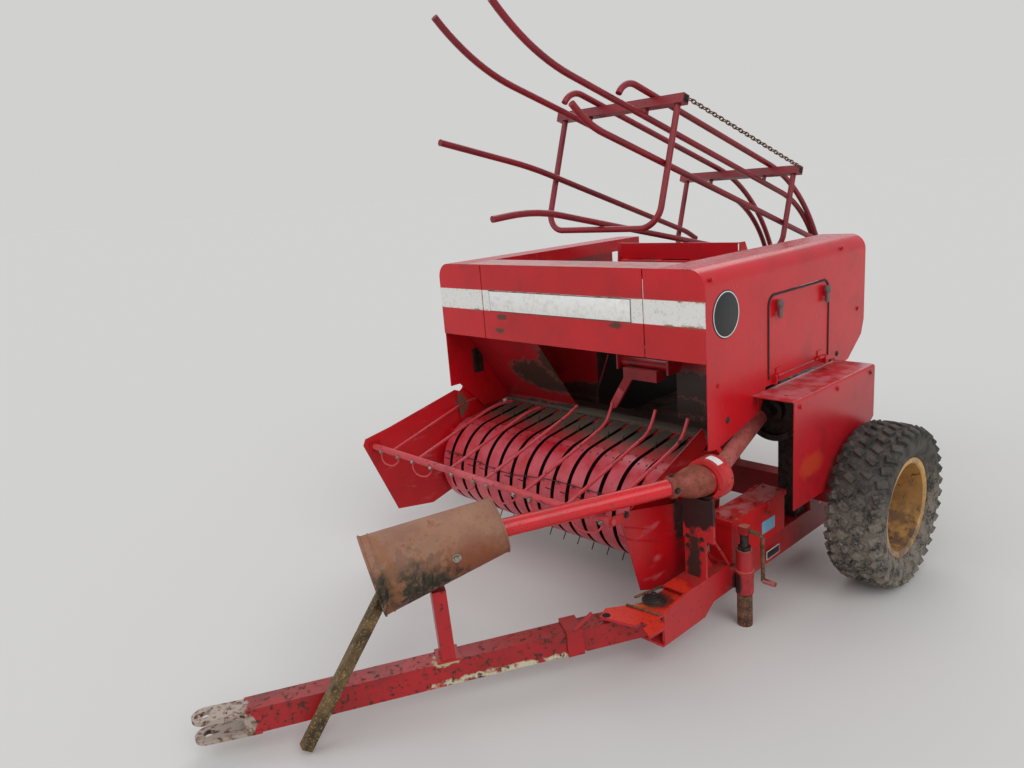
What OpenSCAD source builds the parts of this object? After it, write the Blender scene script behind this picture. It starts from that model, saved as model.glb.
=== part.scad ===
// Square baler, parked on its two wheels and its stand, with the tongue swung in.
// The origin is the middle of the hitch pin bore. +X is the machine's left-hand
// side, +Y points rearwards and +Z is up. All lengths are in millimetres.

/* [Stance] */
// Height of the hitch pin's middle above the ground
hitch_h = 100; // [90:1:140]
// From the hitch pin to the outer face of the left-hand side panel
side_x = 850; // [830:1:880]
// From the hitch pin back to the front panel
front_y = 1590; // [1570:1:1640]
// Roof of the hood above the ground
hood_h = 1383; // [1370:1:1420]

/* [Hood] */
// Width of the hood over its side panels
hood_w = 1452; // [1430:1:1480]
// Length of the hood
hood_l = 1260; // [1240:1:1275]
// Height of the front panel
front_h = 331; // [300:1:345]
// Depth of the left-hand side panel at its front corner
side_h = 650; // [620:1:670]
// Depth of the right-hand side panel
side_right_h = 594; // [560:1:620]
// Thickness of the sheet metal
sheet = 4; // [3:0.5:5]
// Outer radius of the rounded roof edges
edge_r = 67; // [50:1:80]
// From the left-hand end of the front panel to the first seam
seam_left = 265; // [240:1:290]
// From the left-hand end of the front panel to the second seam
seam_right = 1157; // [1100:1:1200]
// Width of a seam
seam = 5; // [4:1:8]
// Depth of the roof's front strip
roof_front = 170; // [140:1:200]
// Width of the roof's side strips
roof_side = 200; // [160:1:230]
// Length and height of the access door
door_l = 500; // [450:1:530]
door_h = 330; // [300:1:345]
// Radius of the door's upper corners
door_r = 45; // [30:1:60]
// From the front panel back to the door, and from the roof down to it
door_y = 414; // [400:1:430]
door_drop = 148; // [140:1:160]

/* [Drive shield] */
// Gap between the shield and the tyre beside it
shield_gap = 17; // [12:1:30]
// Length and height of the shield
shield_l = 684; // [640:1:700]
shield_h = 423; // [400:1:440]
// From the front panel back to the shield
shield_y = 297; // [280:1:310]
// From the roof down to the shield's top
shield_drop = 514; // [505:1:525]
// From the shield's outer face in to the middle of the flywheel
flywheel_in = 232; // [225:1:240]

/* [Frame] */
// Width and height of the main beam
beam_w = 100; // [90:1:105]
beam_h = 110; // [100:1:115]
// Underside of the main beam above the ground
beam_up = 133; // [125:1:140]
// Wall of the main beam
beam_wall = 6; // [4:0.5:8]
// Thickness of the fork plates round the tongue pivot
fork_t = 10; // [8:1:12]

/* [Wheels] */
// Radius of the tyres over the lugs, and their width
tyre_r = 335; // [325:1:345]
tyre_w = 222; // [200:1:232]
// Radius of the rim flange
rim_r = 205; // [195:1:215]
// From the middle of the track to the middle of a wheel
track_half = 1150; // [1145:1:1180]
// From the front panel back to the axle
axle_back = 812; // [800:1:830]
// Side of the square axle beam, and radius of the spindles
axle_s = 80; // [70:1:90]
spindle_r = 22; // [18:1:26]

/* [Tongue] */
// Pivot pin of the tongue, ahead of the front panel and in from the side panel
pivot_ahead = 241; // [230:1:250]
pivot_in = 80; // [75:1:85]
// Width and height of the tongue beam
tongue_w = 80; // [70:1:86]
tongue_h = 88; // [80:1:92]
// Radius of the hitch pin bore
hitch_r = 16; // [12:0.5:18]
// Clear gap between the two hitch plates, and their thickness
hitch_gap = 56; // [50:1:60]
hitch_plate = 14; // [10:1:16]
// Radius of the pivot pin
pivot_r = 20; // [16:1:24]
// From the hitch pin to the support post, along the tongue
post_at = 796; // [780:1:810]

/* [Drive line] */
// Height of the drive line's rear joint above the hitch pin
joint_z = 526; // [515:1:535]
// Radius of the guard tubes
tube_r = 32; // [29:1:34]
// Radii of the front guard bell at its mouth and at its rear end, and its length
bell_r = 134; // [125:1:138]
bell_rear_r = 95; // [90:1:100]
bell_l = 452; // [430:1:470]
// Radius of the round cover over the rear joint
cover_r = 60; // [57:1:62]
// Side of the square telescoping bar
square_bar = 36; // [30:1:40]

/* [Pickup] */
// Number of slots between the guard bands
slots = 14; // [11:1:14]
// Distance from one slot to the next, and width of a slot
band_pitch = 84.7; // [80:0.1:85.5]
slot_w = 20; // [18:1:24]
// Radius of the bands' round front, and their thickness
band_r = 216; // [212:1:220]
band_t = 4; // [3:0.5:5]
// Depth and thickness of the bands' folded edges
fold = 22; // [15:1:26]
fold_t = 3; // [2:0.5:4]
// Number of tine bars on the reel
tine_bars = 4; // [3:1:5]
// Radius that the tine tips run on, and radius of a tine
tine_tip = 262; // [240:1:264]
tine_r = 3; // [2.5:0.5:4]
// Radius of the windguard's bar
guard_r = 15; // [12:1:17]

/* [Bale chamber] */
// Width and height inside
bale_w = 460; // [450:1:470]
bale_h = 360; // [350:1:365]
// Thickness of the chamber's plates
chamber_t = 6; // [5:0.5:8]
// Floor of the chamber above the hitch pin
floor_z = 460; // [455:1:470]
// From the front panel back to the chamber's rear end
chamber_end = 2070; // [2050:1:2110]

/* [Bale chute] */
// Radius of the chute's tubes
rail_r = 13; // [11:0.5:14]
// Side and length of the cross bars
cross_s = 38; // [34:1:42]
cross_l = 680; // [660:1:700]
// Slope of the folded chute, in degrees
chute_tilt = 18.5; // [18:0.1:19]
// Half the width between the middles of a hoop's legs
hoop_half = 304; // [295:1:308]
// Depth of the front and rear hoops below their cross bars
hoop_front = 515; // [505:1:525]
hoop_rear = 405; // [400:1:415]
// Radius of the hoops' corners
hoop_r = 90; // [70:1:100]

/* [Hidden] */
$fn = 48;
red = "firebrick";
dark_red = "darkred";
steel = "dimgray";

run = 0.08;
seat = 0.3;
lap = 3;
swell = 0.1;
ground = -hitch_h;
roof = hood_h - hitch_h;
left = side_x;
right = side_x - hood_w;
middle = side_x - hood_w / 2;
rear = front_y + hood_l;
axle_y = front_y + axle_back;
axle_z = ground + tyre_r;
shield_w = track_half - tyre_w / 2 - side_x - shield_gap;
beam_z = ground + beam_up;
beam_top = beam_z + beam_h;
pivot = [side_x - pivot_in, front_y - pivot_ahead];
tongue_l = norm(pivot);
tongue_turn = atan2(pivot[0], pivot[1]);
fork_z = beam_z - 39;
fork_gap = tongue_h + 21;
pivot_z = fork_z + fork_t + fork_gap / 2;
tongue_rise = atan2(pivot_z, tongue_l);
joint = [side_x - 10, front_y + 20, joint_z];
drive_turn = 25.9;
pickup_y = front_y + 135;
pickup_z = roof - 992;
last_slot = left - 303;
first_slot = last_slot - (slots - 1) * band_pitch;
lift = [front_y + 410, roof - 793];
flywheel_x = left + shield_w - flywheel_in;
flywheel_z = joint_z + 112;
guard_y = front_y - 363;
guard_z = roof - 829;
chamber_y = front_y + 520;
chamber_rear = front_y + chamber_end;
ceiling = floor_z + bale_h;
needle = [front_y + 830, floor_z - 20];
hinge = [front_y + 2030, roof - 425];

// A box given by its low corner and its size
module box(low, size) {
    translate(low) cube(size);
}

// A round bar from one point to another
module bar(a, b, r, n = 24) {
    v = b - a;
    translate(a)
        rotate([0, acos(v[2] / norm(v)), atan2(v[1], v[0])])
            cylinder(h = norm(v), r = r, $fn = n);
}

// A plate of thickness t whose outline is given in Y and Z, from x towards +X
module side_plate(x, t, points) {
    translate([x, 0, 0]) rotate([90, 0, 90]) linear_extrude(t) polygon(points);
}

// A tube along X
module cross_tube(x, y, z, length, r, n = 32) {
    translate([x, y, z]) rotate([0, 90, 0]) cylinder(h = length, r = r, $fn = n);
}

// Main frame

module main_frame() {
    color(red) difference() {
        union() {
            main_beam();
            fork();
            box([left - beam_w, axle_y - 40, beam_top], [beam_w, 80, axle_z - axle_s / 2 - beam_top]);
            box([right + 60, axle_y - 40, axle_z - axle_s / 2 - 50], [left - beam_w - right - 50, 80, 50]);
        }
        translate([pivot[0], pivot[1], fork_z - 1])
            cylinder(h = fork_gap + 2 * fork_t + 2, r = pivot_r + run);
    }
    color(steel) {
        translate([pivot[0], pivot[1], fork_z - 12]) cylinder(h = fork_gap + 2 * fork_t + 24, r = pivot_r);
        translate([pivot[0], pivot[1], fork_z + fork_gap + 2 * fork_t]) cylinder(h = 6, r = 44);
        translate([pivot[0], pivot[1], fork_z - 12]) cylinder(h = 12, r = 32);
    }
}

// The long box beam on the left-hand side, from the tongue's fork to behind the axle
module main_beam() {
    start = pivot[1] + 81;
    length = axle_y + 150 - start;
    difference() {
        box([left - beam_w, start, beam_z], [beam_w, length, beam_h]);
        box([left - beam_w + beam_wall, start - 1, beam_z + beam_wall],
            [beam_w - 2 * beam_wall, length + 2, beam_h - 2 * beam_wall]);
    }
}

// Two plates above and below the tongue's end, and the deep side plate beside it
module fork() {
    outline = [[left, pivot[1] + 181], [left, pivot[1] - 80], [left + 55, pivot[1] - 115],
        [left + 50, pivot[1] - 200], [left + 2, pivot[1] - 172], [left + 2, pivot[1] - 142],
        [left - 26, pivot[1] - 142], [left - 26, pivot[1] - 172],
        [left - 160, pivot[1] - 206], [left - 182, pivot[1] - 150], [left - 102, pivot[1] - 40],
        [left - 102, pivot[1] + 20], [left - beam_w, pivot[1] + 181]];
    translate([0, 0, fork_z + fork_t + fork_gap]) linear_extrude(fork_t) polygon(outline);
    box([left - beam_w, pivot[1] - 60, fork_z], [beam_w, 241, fork_t]);
    side_plate(left - fork_t, fork_t, [[pivot[1] - 50, fork_z], [pivot[1] + 200, fork_z],
        [pivot[1] + 260, beam_z], [pivot[1] + 260, beam_top], [pivot[1] + 110, beam_top],
        [pivot[1] - 50, fork_z + fork_gap + 2 * fork_t]]);
}

module axle() {
    half = track_half - tyre_w / 2 - 45;
    color(red) {
        box([-half, axle_y - axle_s / 2, axle_z - axle_s / 2], [2 * half, axle_s, axle_s]);
        for (s = [-1, 1]) box([s * (half - 12) - 12, axle_y - 62, axle_z - 62], [24, 124, 124]);
    }
    color(steel) for (s = [-1, 1])
        bar([s * half, axle_y, axle_z], [s * (track_half - 10), axle_y, axle_z], spindle_r, 48);
}

// Bale chamber

chamber_x = middle - bale_w / 2;
chamber_l = chamber_rear - chamber_y;
leg_z = floor_z - chamber_t - 36;

module chamber_floor() {
    color(red) {
        difference() {
            box([chamber_x, chamber_y, floor_z - chamber_t], [bale_w, chamber_l, chamber_t]);
            for (s = [-1, 1]) box([middle + s * 90 - 17, chamber_y + 640, floor_z - 50], [34, 190, 100]);
        }
        for (s = [0, 1]) {
            box([chamber_x - chamber_t + s * (bale_w - 28), chamber_y, leg_z], [40, chamber_l, 36]);
            box([chamber_x - 20 + s * (bale_w - 20), axle_y - 40, axle_z + axle_s / 2],
                [60, 80, leg_z - axle_z - axle_s / 2]);
        }
        for (s = [-1, 1]) translate([middle + s * (bale_w / 2 + chamber_t - 4), needle[0], needle[1]])
            rotate([0, s * 90, 0]) cylinder(h = 56, r = 14);
    }
}

module chamber_roof() {
    color(red) {
        difference() {
            box([chamber_x, chamber_y, ceiling], [bale_w, 700, chamber_t]);
            for (s = [-1, 1]) box([middle + s * 90 - 17, chamber_y + 470, ceiling - 50], [34, 190, 100]);
        }
        for (s = [0, 1]) box([chamber_x - chamber_t + s * (bale_w - 28), chamber_y, ceiling + chamber_t],
            [40, chamber_l - 130, 36]);
    }
}

// Side wall of the chamber with its bracket for the chute, s = 1 on the machine's left-hand side
module chamber_side(s) {
    x = middle + s * (bale_w + chamber_t) / 2;
    color(red) {
        difference() {
            box([x - chamber_t / 2, chamber_y, floor_z - chamber_t],
                [chamber_t, chamber_l, bale_h + 2 * chamber_t]);
            for (k = [0:2]) box([x - 20, chamber_y + 800 + k * 310, floor_z + 150], [40, 270, 60]);
        }
        difference() {
            side_plate(x + s * (chamber_t / 2 + 5) - 5, 10, [[chamber_rear - 120, ceiling - 60],
                [chamber_rear - 10, ceiling - 60], [hinge[0] + 24, hinge[1] + 24],
                [hinge[0] - 24, hinge[1] + 24]]);
            cross_tube(x - 30, hinge[0], hinge[1], 60, 12 + run);
        }
    }
}

module chamber_left() { chamber_side(1); }
module chamber_right() { chamber_side(-1); }

// Rails that squeeze the bale at the rear, with their two cross bars and screws
module tension_rails() {
    y0 = chamber_rear - 620;
    color(dark_red) for (s = [-1, 1]) {
        box([middle + s * 120 - 30, y0, ceiling - 20], [60, 560, 14]);
        box([middle + s * 120 - 6, y0 + 40, ceiling - 6], [12, 480, 70]);
        box([middle + s * 120 - 30, y0 + 40, floor_z - chamber_t - 54], [60, 560, 54]);
    }
    color(red) for (z = [ceiling + 64, floor_z - chamber_t - 104])
        box([middle - bale_w / 2 - 60, chamber_rear - 190, z], [bale_w + 120, 60, 50]);
    color(steel) for (s = [-1, 1]) {
        bar([middle + s * (bale_w / 2 + 40), chamber_rear - 160, floor_z - chamber_t - 130],
            [middle + s * (bale_w / 2 + 40), chamber_rear - 160, ceiling + 230], 11);
        bar([middle + s * (bale_w / 2 + 40), chamber_rear - 160, ceiling + 115],
            [middle + s * (bale_w / 2 + 40), chamber_rear - 160, ceiling + 200], 24);
        bar([middle + s * (bale_w / 2 + 40), chamber_rear - 160, ceiling + 220],
            [middle + s * (bale_w / 2 + 40), chamber_rear - 290, ceiling + 220], 9);
        bar([middle + s * (bale_w / 2 + 40), chamber_rear - 290, ceiling + 214],
            [middle + s * (bale_w / 2 + 40), chamber_rear - 290, ceiling + 290], 9);
    }
}

module gearbox() {
    color(steel) difference() {
        union() {
            box([flywheel_x - 140, chamber_y + 130, joint_z + 10], [188, 260, 210]);
            cross_tube(middle + bale_w / 2 + chamber_t + seat, chamber_y + 260, flywheel_z,
                flywheel_x - 130 - middle - bale_w / 2 - chamber_t, 60);
            box([flywheel_x - 30, chamber_y + 140, beam_top + seat],
                [left - 12 - flywheel_x + 30, 90, joint_z + 20 - beam_top]);
        }
        translate([flywheel_x, chamber_y + 129, flywheel_z]) rotate([-90, 0, 0])
            cylinder(h = 80, r = 25 + run);
    }
}

// Flywheel on its short shaft, ahead of the gearbox
module flywheel() {
    translate([flywheel_x, 0, flywheel_z]) rotate([-90, 0, 0]) color(steel) {
        translate([0, 0, chamber_y + 30]) difference() {
            cylinder(h = 80, r = 128);
            for (z = [-1, 50]) translate([0, 0, z]) difference() {
                cylinder(h = 31, r = 104);
                cylinder(h = 31, r = 46);
            }
        }
        translate([0, 0, chamber_y - 20]) cylinder(h = 200, r = 25);
    }
}

// Hood

module hood_front() {
    edges = [0, seam_left, seam_right, hood_w];
    color(red) {
        for (k = [0:2]) {
            x1 = left - edges[k] - (k == 0 ? 0 : seam / 2);
            x0 = left - edges[k + 1] + (k == 2 ? 0 : seam / 2);
            low = k == 2 ? x0 + edge_r : x0;
            high = k == 0 ? x1 - edge_r : x1;
            box([low, front_y, roof - front_h], [high - low, sheet, front_h - sheet]);
            box([max(x0, right + sheet), front_y, roof - front_h],
                [min(x1, left - sheet) - max(x0, right + sheet), 26, sheet]);
        }
        for (s = [0, 1]) translate([s * (right + left), 0, 0]) mirror([s, 0, 0])
            translate([left - edge_r, front_y + sheet, roof]) rotate([90, 0, 0]) linear_extrude(sheet) {
                translate([0, -front_h]) square([edge_r, front_h - edge_r]);
                translate([0, -edge_r]) intersection() {
                    circle(r = edge_r);
                    square(edge_r + 1);
                }
            }
        box([right + sheet, front_y + sheet, roof - front_h + 30], [hood_w - 2 * sheet, 30, sheet]);
        box([right + roof_side + seat, front_y + sheet, roof - 40],
            [hood_w - 2 * roof_side - 2 * seat, 30, sheet]);
    }
}

// Side strip of the roof with its rounded edge, for the panel whose outer face is at x = 0
module roof_edge(length) {
    rotate([-90, 0, 0]) linear_extrude(length) {
        translate([-edge_r, edge_r]) intersection() {
            difference() {
                circle(r = edge_r);
                circle(r = edge_r - sheet);
            }
            translate([0, -edge_r]) square(edge_r);
        }
        translate([-roof_side, 0]) square([roof_side - edge_r, sheet]);
        translate([-roof_side, 0]) square([sheet, 60]);
    }
}

module hood_left() {
    d = shield_drop;
    outline = [[front_y + sheet, roof - edge_r], [rear, roof - edge_r], [rear, roof - 380],
        [rear - 24, roof - 445], [rear - 150, roof - 535], [front_y + shield_y + shield_l - 6, roof - 560],
        [front_y + shield_y + shield_l - 6, roof - d + 12], [front_y + 400, roof - d + 12],
        [front_y + 355, roof - 590], [front_y + 60, roof - side_h - 8],
        [front_y + sheet, roof - side_h]];
    color(red) {
        difference() {
            side_plate(left - sheet, sheet, outline);
            door_outline(left - sheet - 1, sheet + 2, 0);
        }
        translate([left, front_y + sheet, roof]) roof_edge(hood_l - sheet);
        door_pins();
    }
}

// The door's shape, grown by a clearance
module door_outline(x, t, grow) {
    y0 = front_y + door_y - grow;
    z1 = roof - door_drop + grow;
    translate([x, 0, 0]) rotate([90, 0, 90]) linear_extrude(t) {
        translate([y0, z1 - door_h - 2 * grow]) square([door_l + 2 * grow, door_h + 2 * grow - door_r]);
        translate([y0 + door_r, z1 - door_r - 1]) square([door_l + 2 * grow - 2 * door_r, door_r + 1]);
        for (y = [y0 + door_r, y0 + door_l + 2 * grow - door_r]) translate([y, z1 - door_r])
            circle(r = door_r);
    }
}

// The door hangs from two pins along its foot
door_hinge = [left + 8, roof - door_drop - door_h + 4];

module access_door() {
    color(red) difference() {
        union() {
            door_outline(left - sheet, sheet, -4);
            for (y = [60, door_l - 100]) {
                translate([door_hinge[0], front_y + door_y + y, door_hinge[1]]) rotate([-90, 0, 0])
                    cylinder(h = 40, r = 7.5);
                box([left - sheet + 1, front_y + door_y + y, door_hinge[1] + 1], [7, 40, 30]);
            }
        }
        translate([door_hinge[0], front_y + door_y, door_hinge[1]]) rotate([-90, 0, 0])
            cylinder(h = door_l, r = 4 + run);
    }
    color(steel) for (y = [front_y + door_y + 68, front_y + door_y + door_l - 44]) {
        box([left, y - 9, roof - door_drop - 70], [6, 18, 44]);
        box([left + 6, y - 7, roof - door_drop - 90], [8, 14, 60]);
    }
}

// Pins that carry the door, on two small ears
module door_pins() {
    for (y = [40, door_l - 50]) {
        box([left, front_y + door_y + y, door_hinge[1] - 30], [15, 10, 30]);
        translate([door_hinge[0], front_y + door_y + y, door_hinge[1]]) rotate([-90, 0, 0])
            cylinder(h = 10, r = 7.6);
    }
    for (y = [45, door_l - 125]) translate([door_hinge[0], front_y + door_y + y, door_hinge[1]])
        rotate([-90, 0, 0]) cylinder(h = 80, r = 4, $fn = 24);
}

module hood_right() {
    outline = [[front_y + sheet, roof - edge_r], [rear, roof - edge_r], [rear, roof - 380],
        [rear - 24, roof - 445], [rear - 200, roof - side_right_h], [front_y + 520, roof - side_right_h],
        [front_y + 430, roof - 735], [front_y + 200, roof - 735], [front_y + 60, roof - side_right_h],
        [front_y + sheet, roof - side_right_h]];
    color(red) {
        side_plate(right, sheet, outline);
        translate([right, front_y + sheet, roof]) mirror([1, 0, 0]) roof_edge(hood_l - sheet);
    }
}

module hood_roof() {
    x0 = right + edge_r;
    w = hood_w - 2 * edge_r;
    color(red) {
        box([x0, front_y, roof - sheet], [w, sheet, sheet]);
        box([right + roof_side + run, front_y + sheet, roof - sheet],
            [hood_w - 2 * roof_side - 2 * run, roof_front, sheet]);
        box([right + roof_side + run, front_y + roof_front, roof - 60],
            [hood_w - 2 * roof_side - 2 * run, sheet, 60]);
    }
}

// Guard box over the flywheel and its drive, open towards the front
module drive_shield() {
    y0 = front_y + shield_y;
    z1 = roof - shield_drop;
    color(red) difference() {
        union() {
            box([left, y0, z1 - sheet], [shield_w, shield_l, sheet]);
            side_plate(left + shield_w - sheet, sheet, [[y0, z1], [y0 + shield_l, z1],
                [y0 + shield_l, z1 - 225], [y0 + 350, z1 - shield_h], [y0, z1 - shield_h]]);
            box([left, y0 + shield_l - sheet, z1 - 225], [shield_w, sheet, 225]);
            for (lip = [[0, 200], [400, shield_l - 400]])
                box([left, y0 + lip[0], z1 - 28], [sheet, lip[1], 28]);
        }
        translate([left + shield_w - 12, y0 - 1, z1 - 12]) rotate([-90, 0, 0]) difference() {
            translate([0, -24, 0]) cube([24, 24, shield_l + 2]);
            cylinder(h = shield_l + 2, r = 12);
        }
    }
}

// Knotter

cover_y = front_y + 860;
cover_z = roof - 72;
cover_hinge = [cover_y + 3, cover_z - 12];
cover_tube = [front_y + 1030, roof - 88];
cover_half = 330;

module knotter_frame() {
    color(dark_red) {
        for (s = [-1, 1]) difference() {
            side_plate(middle + s * 225 - 5, 10, [[front_y + 900, ceiling + chamber_t + 36],
                [front_y + 1180, ceiling + chamber_t + 36], [front_y + 1180, ceiling + 210],
                [front_y + 1060, roof - 66], [front_y + 1000, roof - 66], [front_y + 940, roof - 130]]);
            cross_tube(middle + s * 225 - 20, cover_tube[0], cover_tube[1], 40, 12 + run);
        }
        cross_tube(middle - 225, front_y + 1000, roof - 240, 450, 18);
        cross_tube(middle - 225, front_y + 1130, roof - 320, 450, 14);
    }
    color(steel) for (s = [-1, 1]) difference() {
        cross_tube(middle + s * 90 - 45, front_y + 1000, roof - 240, 90, 85);
        cross_tube(middle + s * 90 - 20, front_y + 1000, roof - 240, 70, 60);
    }
}

// Slanted brackets on a tube through the knotter's frame, with the cover's hinge rod
module cover_brackets() {
    color(red) {
        cross_tube(middle - cover_half - 22, cover_tube[0], cover_tube[1], 2 * cover_half + 44, 12);
        for (s = [-1, 1]) side_plate(middle + s * (cover_half + 14) - 4, 8, [[cover_y - 8, cover_z - 24],
            [cover_y + 190, cover_z - 46], [cover_y + 190, cover_z - 14], [cover_y + 60, cover_z + 30],
            [cover_y + 34, cover_z + 77], [cover_y - 2, cover_z + 77], [cover_y - 8, cover_z]]);
    }
    color(steel) cross_tube(middle - cover_half - 24, cover_hinge[0], cover_hinge[1],
        2 * cover_half + 48, 6, 24);
}

// Folded sheet cover over the knotters, hinged along its foot
module knotter_cover() {
    color(red) difference() {
        union() {
            box([middle - cover_half, cover_y, cover_z], [2 * cover_half, 5, 74]);
            box([middle - cover_half, cover_y, cover_z + 70], [2 * cover_half, 15, 5]);
            box([middle - cover_half, cover_y, cover_z], [2 * cover_half, 60, 5]);
            for (x = [-300, -100, 100, 300]) {
                cross_tube(middle + x - 20, cover_hinge[0], cover_hinge[1], 40, 10, 24);
                box([middle + x - 20, cover_hinge[0] - 2, cover_hinge[1]], [40, 4, 14]);
            }
        }
        cross_tube(middle - cover_half - 10, cover_hinge[0], cover_hinge[1],
            2 * cover_half + 20, 6 + run, 24);
    }
}

// Toolbox on the main beam

toolbox_x = left - 96;
toolbox_y = front_y + 140;
lid_z = beam_top + 168 + run;
lid_ears = [60, 330];
lid_out = 7;

module toolbox() {
    color(red) {
        difference() {
            box([toolbox_x, toolbox_y, beam_top], [100, 400, 168]);
            box([toolbox_x + 3, toolbox_y + 3, beam_top + 3], [94, 394, 200]);
        }
        for (y = lid_ears) box([toolbox_x - lid_out - 5, toolbox_y + y, lid_z - 14], [lid_out + 6, 12, 16]);
    }
    color(steel) translate([toolbox_x - lid_out, toolbox_y + lid_ears[0] - 30, lid_z + 1.5])
        rotate([-90, 0, 0]) cylinder(h = lid_ears[1] - lid_ears[0] + 72, r = 3);
}

module toolbox_lid() {
    x0 = toolbox_x - lid_out;
    y0 = toolbox_y - 6;
    color(red) difference() {
        union() {
            box([x0, y0, lid_z], [lid_out + 106, 412, 3]);
            box([toolbox_x + 103, y0, beam_top + 150], [3, 412, 18 + run]);
            box([toolbox_x + 2, y0, beam_top + 150], [104, 3, 18 + run]);
            box([toolbox_x + 2, y0 + 409, beam_top + 150], [104, 3, 18 + run]);
            for (y = lid_ears) for (side = [-31, 13]) translate([x0, toolbox_y + y + side, lid_z + 1.5])
                rotate([-90, 0, 0]) cylinder(h = 30, r = 6);
        }
        translate([x0, y0 - 1, lid_z + 1.5]) rotate([-90, 0, 0]) cylinder(h = 420, r = 3 + run);
        for (y = lid_ears) box([x0 - 8, toolbox_y + y - 0.5, lid_z - 20], [17, 13, 40]);
    }
    color(steel) box([toolbox_x + 106, toolbox_y + 244, beam_top + 130], [8, 26, 36]);
}

// Feeding parts behind the pickup

packer_axis = [front_y + 400, roof - 470];
packer_x = middle + 66;

module feeder_housing() {
    y0 = front_y + 430;
    x0 = right + sheet;
    x1 = left - 120;
    z0 = roof - 740;
    color(red) difference() {
        union() {
            box([pick_left - 18, y0 - 60, z0], [x1 - pick_left + 18, chamber_y - y0 + 60 - seat, sheet]);
            side_plate(x0, middle - bale_w / 2 - 14 - x0, [[y0 - 60, z0], [y0 - 60 + sheet, z0],
                [y0 - 60 + sheet, z0 + 30], [front_y + 110 + sheet, z0 + 410],
                [front_y + 110, z0 + 410], [y0 - 60, z0 + 30]]);
            box([x1, chamber_y - sheet - seat, roof - shield_drop + 22], [left - sheet - x1, sheet, 140]);
            difference() {
                box([x0, chamber_y - sheet - seat, z0], [x1 - x0, sheet, 420]);
                box([middle - bale_w / 2, chamber_y - 40, floor_z], [bale_w, 80, bale_h]);
            }
            for (x = [x0 + 20, x1 - sheet])
                side_plate(x, sheet, [[front_y + 140, roof - 330], [y0, z0], [chamber_y - seat, z0],
                    [chamber_y - seat, roof - 330]]);
            for (x = [packer_x - 45, packer_x + 225]) side_plate(x, 10, [
                [packer_axis[0] - 40, packer_axis[1] - 30], [packer_axis[0] - 40, roof - 326],
                [chamber_y - seat, roof - 326], [chamber_y - seat, roof - 350],
                [packer_axis[0] + 40, packer_axis[1] - 30]]);
            for (x = [pick_left - 18, pick_right + 8])
                box([x, lift[0] - 30, lift[1] - 30], [10, y0 - lift[0] + 40, z0 + sheet - lift[1] + 30]);
        }
        cross_tube(packer_x - 60, packer_axis[0], packer_axis[1], 320, 22 + run);
        cross_tube(pick_left - 40, lift[0], lift[1], pick_right - pick_left + 80, 14 + run);
    }
}

// Packer arm hanging from its cross shaft
module packer() {
    y0 = packer_axis[0];
    z0 = packer_axis[1];
    color(dark_red) {
        cross_tube(packer_x - 50, y0, z0, 290, 22);
        box([packer_x, y0 - 50, z0 - 66], [180, 60, 50]);
        translate([packer_x + 34, y0 - 44, z0 - 44]) rotate([0, 34, 0]) box([-20, 0, -120], [40, 14, 110]);
    }
}

// Drive line

module drive_stand() {
    j = joint;
    color(red) {
        box([left - 90, j[1] - 50, beam_top], [90, 12, 150]);
        side_plate(left - 50, 8, [[j[1] - 50, beam_top], [j[1] + 60, beam_top],
            [j[1] - 50, beam_top + 150]]);
    }
    color(dark_red) difference() {
        box([left - 96, j[1] - 50, beam_top + 150], [130, 14, j[2] - beam_top - 150]);
        translate([j[0], j[1] - 60, j[2]]) rotate([-90, 0, 0]) cylinder(h = 40, r = 72);
    }
    color(red) translate([j[0], j[1] - 36, j[2]]) rotate([-90, 0, 0]) difference() {
        cylinder(h = 70, r = 80);
        translate([0, 0, -1]) cylinder(h = 80, r = cover_r + seat);
    }
}

// Guard tube from the joint back to the gearbox
module rear_tube() {
    a = [joint[0] - 4, joint[1] + 72, joint[2] + 14];
    b = [flywheel_x, chamber_y - 66, flywheel_z];
    color("indianred") {
        bar(a, b, tube_r, 48);
        translate([joint[0], joint[1] + 34 + seat, joint[2]]) rotate([-90, 0, 0]) difference() {
            cylinder(h = 44, r1 = 78, r2 = 40);
            translate([0, 0, -1]) cylinder(h = 38, r1 = 74, r2 = 44);
        }
    }
}

// Slopes of the guard tube and its bell, and the middle of the front joint, seen in
// the drive line's own place
tube_fall = 2.3;
bell_fall = 11.5;
bar_top = [7, -1147, -70];

// Places the front drive line: its own Y runs level from the bell towards the joint
module drive_place() {
    translate(joint) rotate([0, 0, -drive_turn]) children();
}

module front_tube() {
    drive_place() {
        color(red) {
            rotate([90 + tube_fall, 0, 0]) cylinder(h = 835, r = tube_r);
            sphere(r = cover_r);
        }
        color(steel) bar([0, -820, -820 * sin(tube_fall)], bar_top + (30.6 + seat) * [0, 1, 0.1], 20);
    }
}

module front_bell() {
    drive_place() color("indianred") difference() {
        translate([0, -800, -14]) rotate([90 + bell_fall, 0, 0]) difference() {
            cylinder(h = bell_l, r1 = bell_rear_r, r2 = bell_r);
            translate([0, 0, 5]) cylinder(h = bell_l, r1 = bell_rear_r - 4, r2 = bell_r - 4);
        }
        rotate([90 + tube_fall, 0, 0]) translate([0, 0, 760]) cylinder(h = 90, r = tube_r + seat);
    }
}

// Square bar that hangs from the front joint, its foot near the ground
module square_drive_bar() {
    foot = [81.5, -1522, ground + 22 - joint_z];
    v = foot - bar_top;
    drive_place() color("rosybrown") {
        translate(bar_top) rotate([0, acos(v[2] / norm(v)), atan2(v[1], v[0])])
            translate([-square_bar / 2, -square_bar / 2, 0]) cube([square_bar, square_bar, norm(v)]);
        translate(bar_top) rotate([0, 90, 0]) cylinder(h = 64, r = 30, center = true);
    }
}

// Tongue

module tongue_place() {
    rotate([0, 0, -tongue_turn]) children();
}

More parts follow.
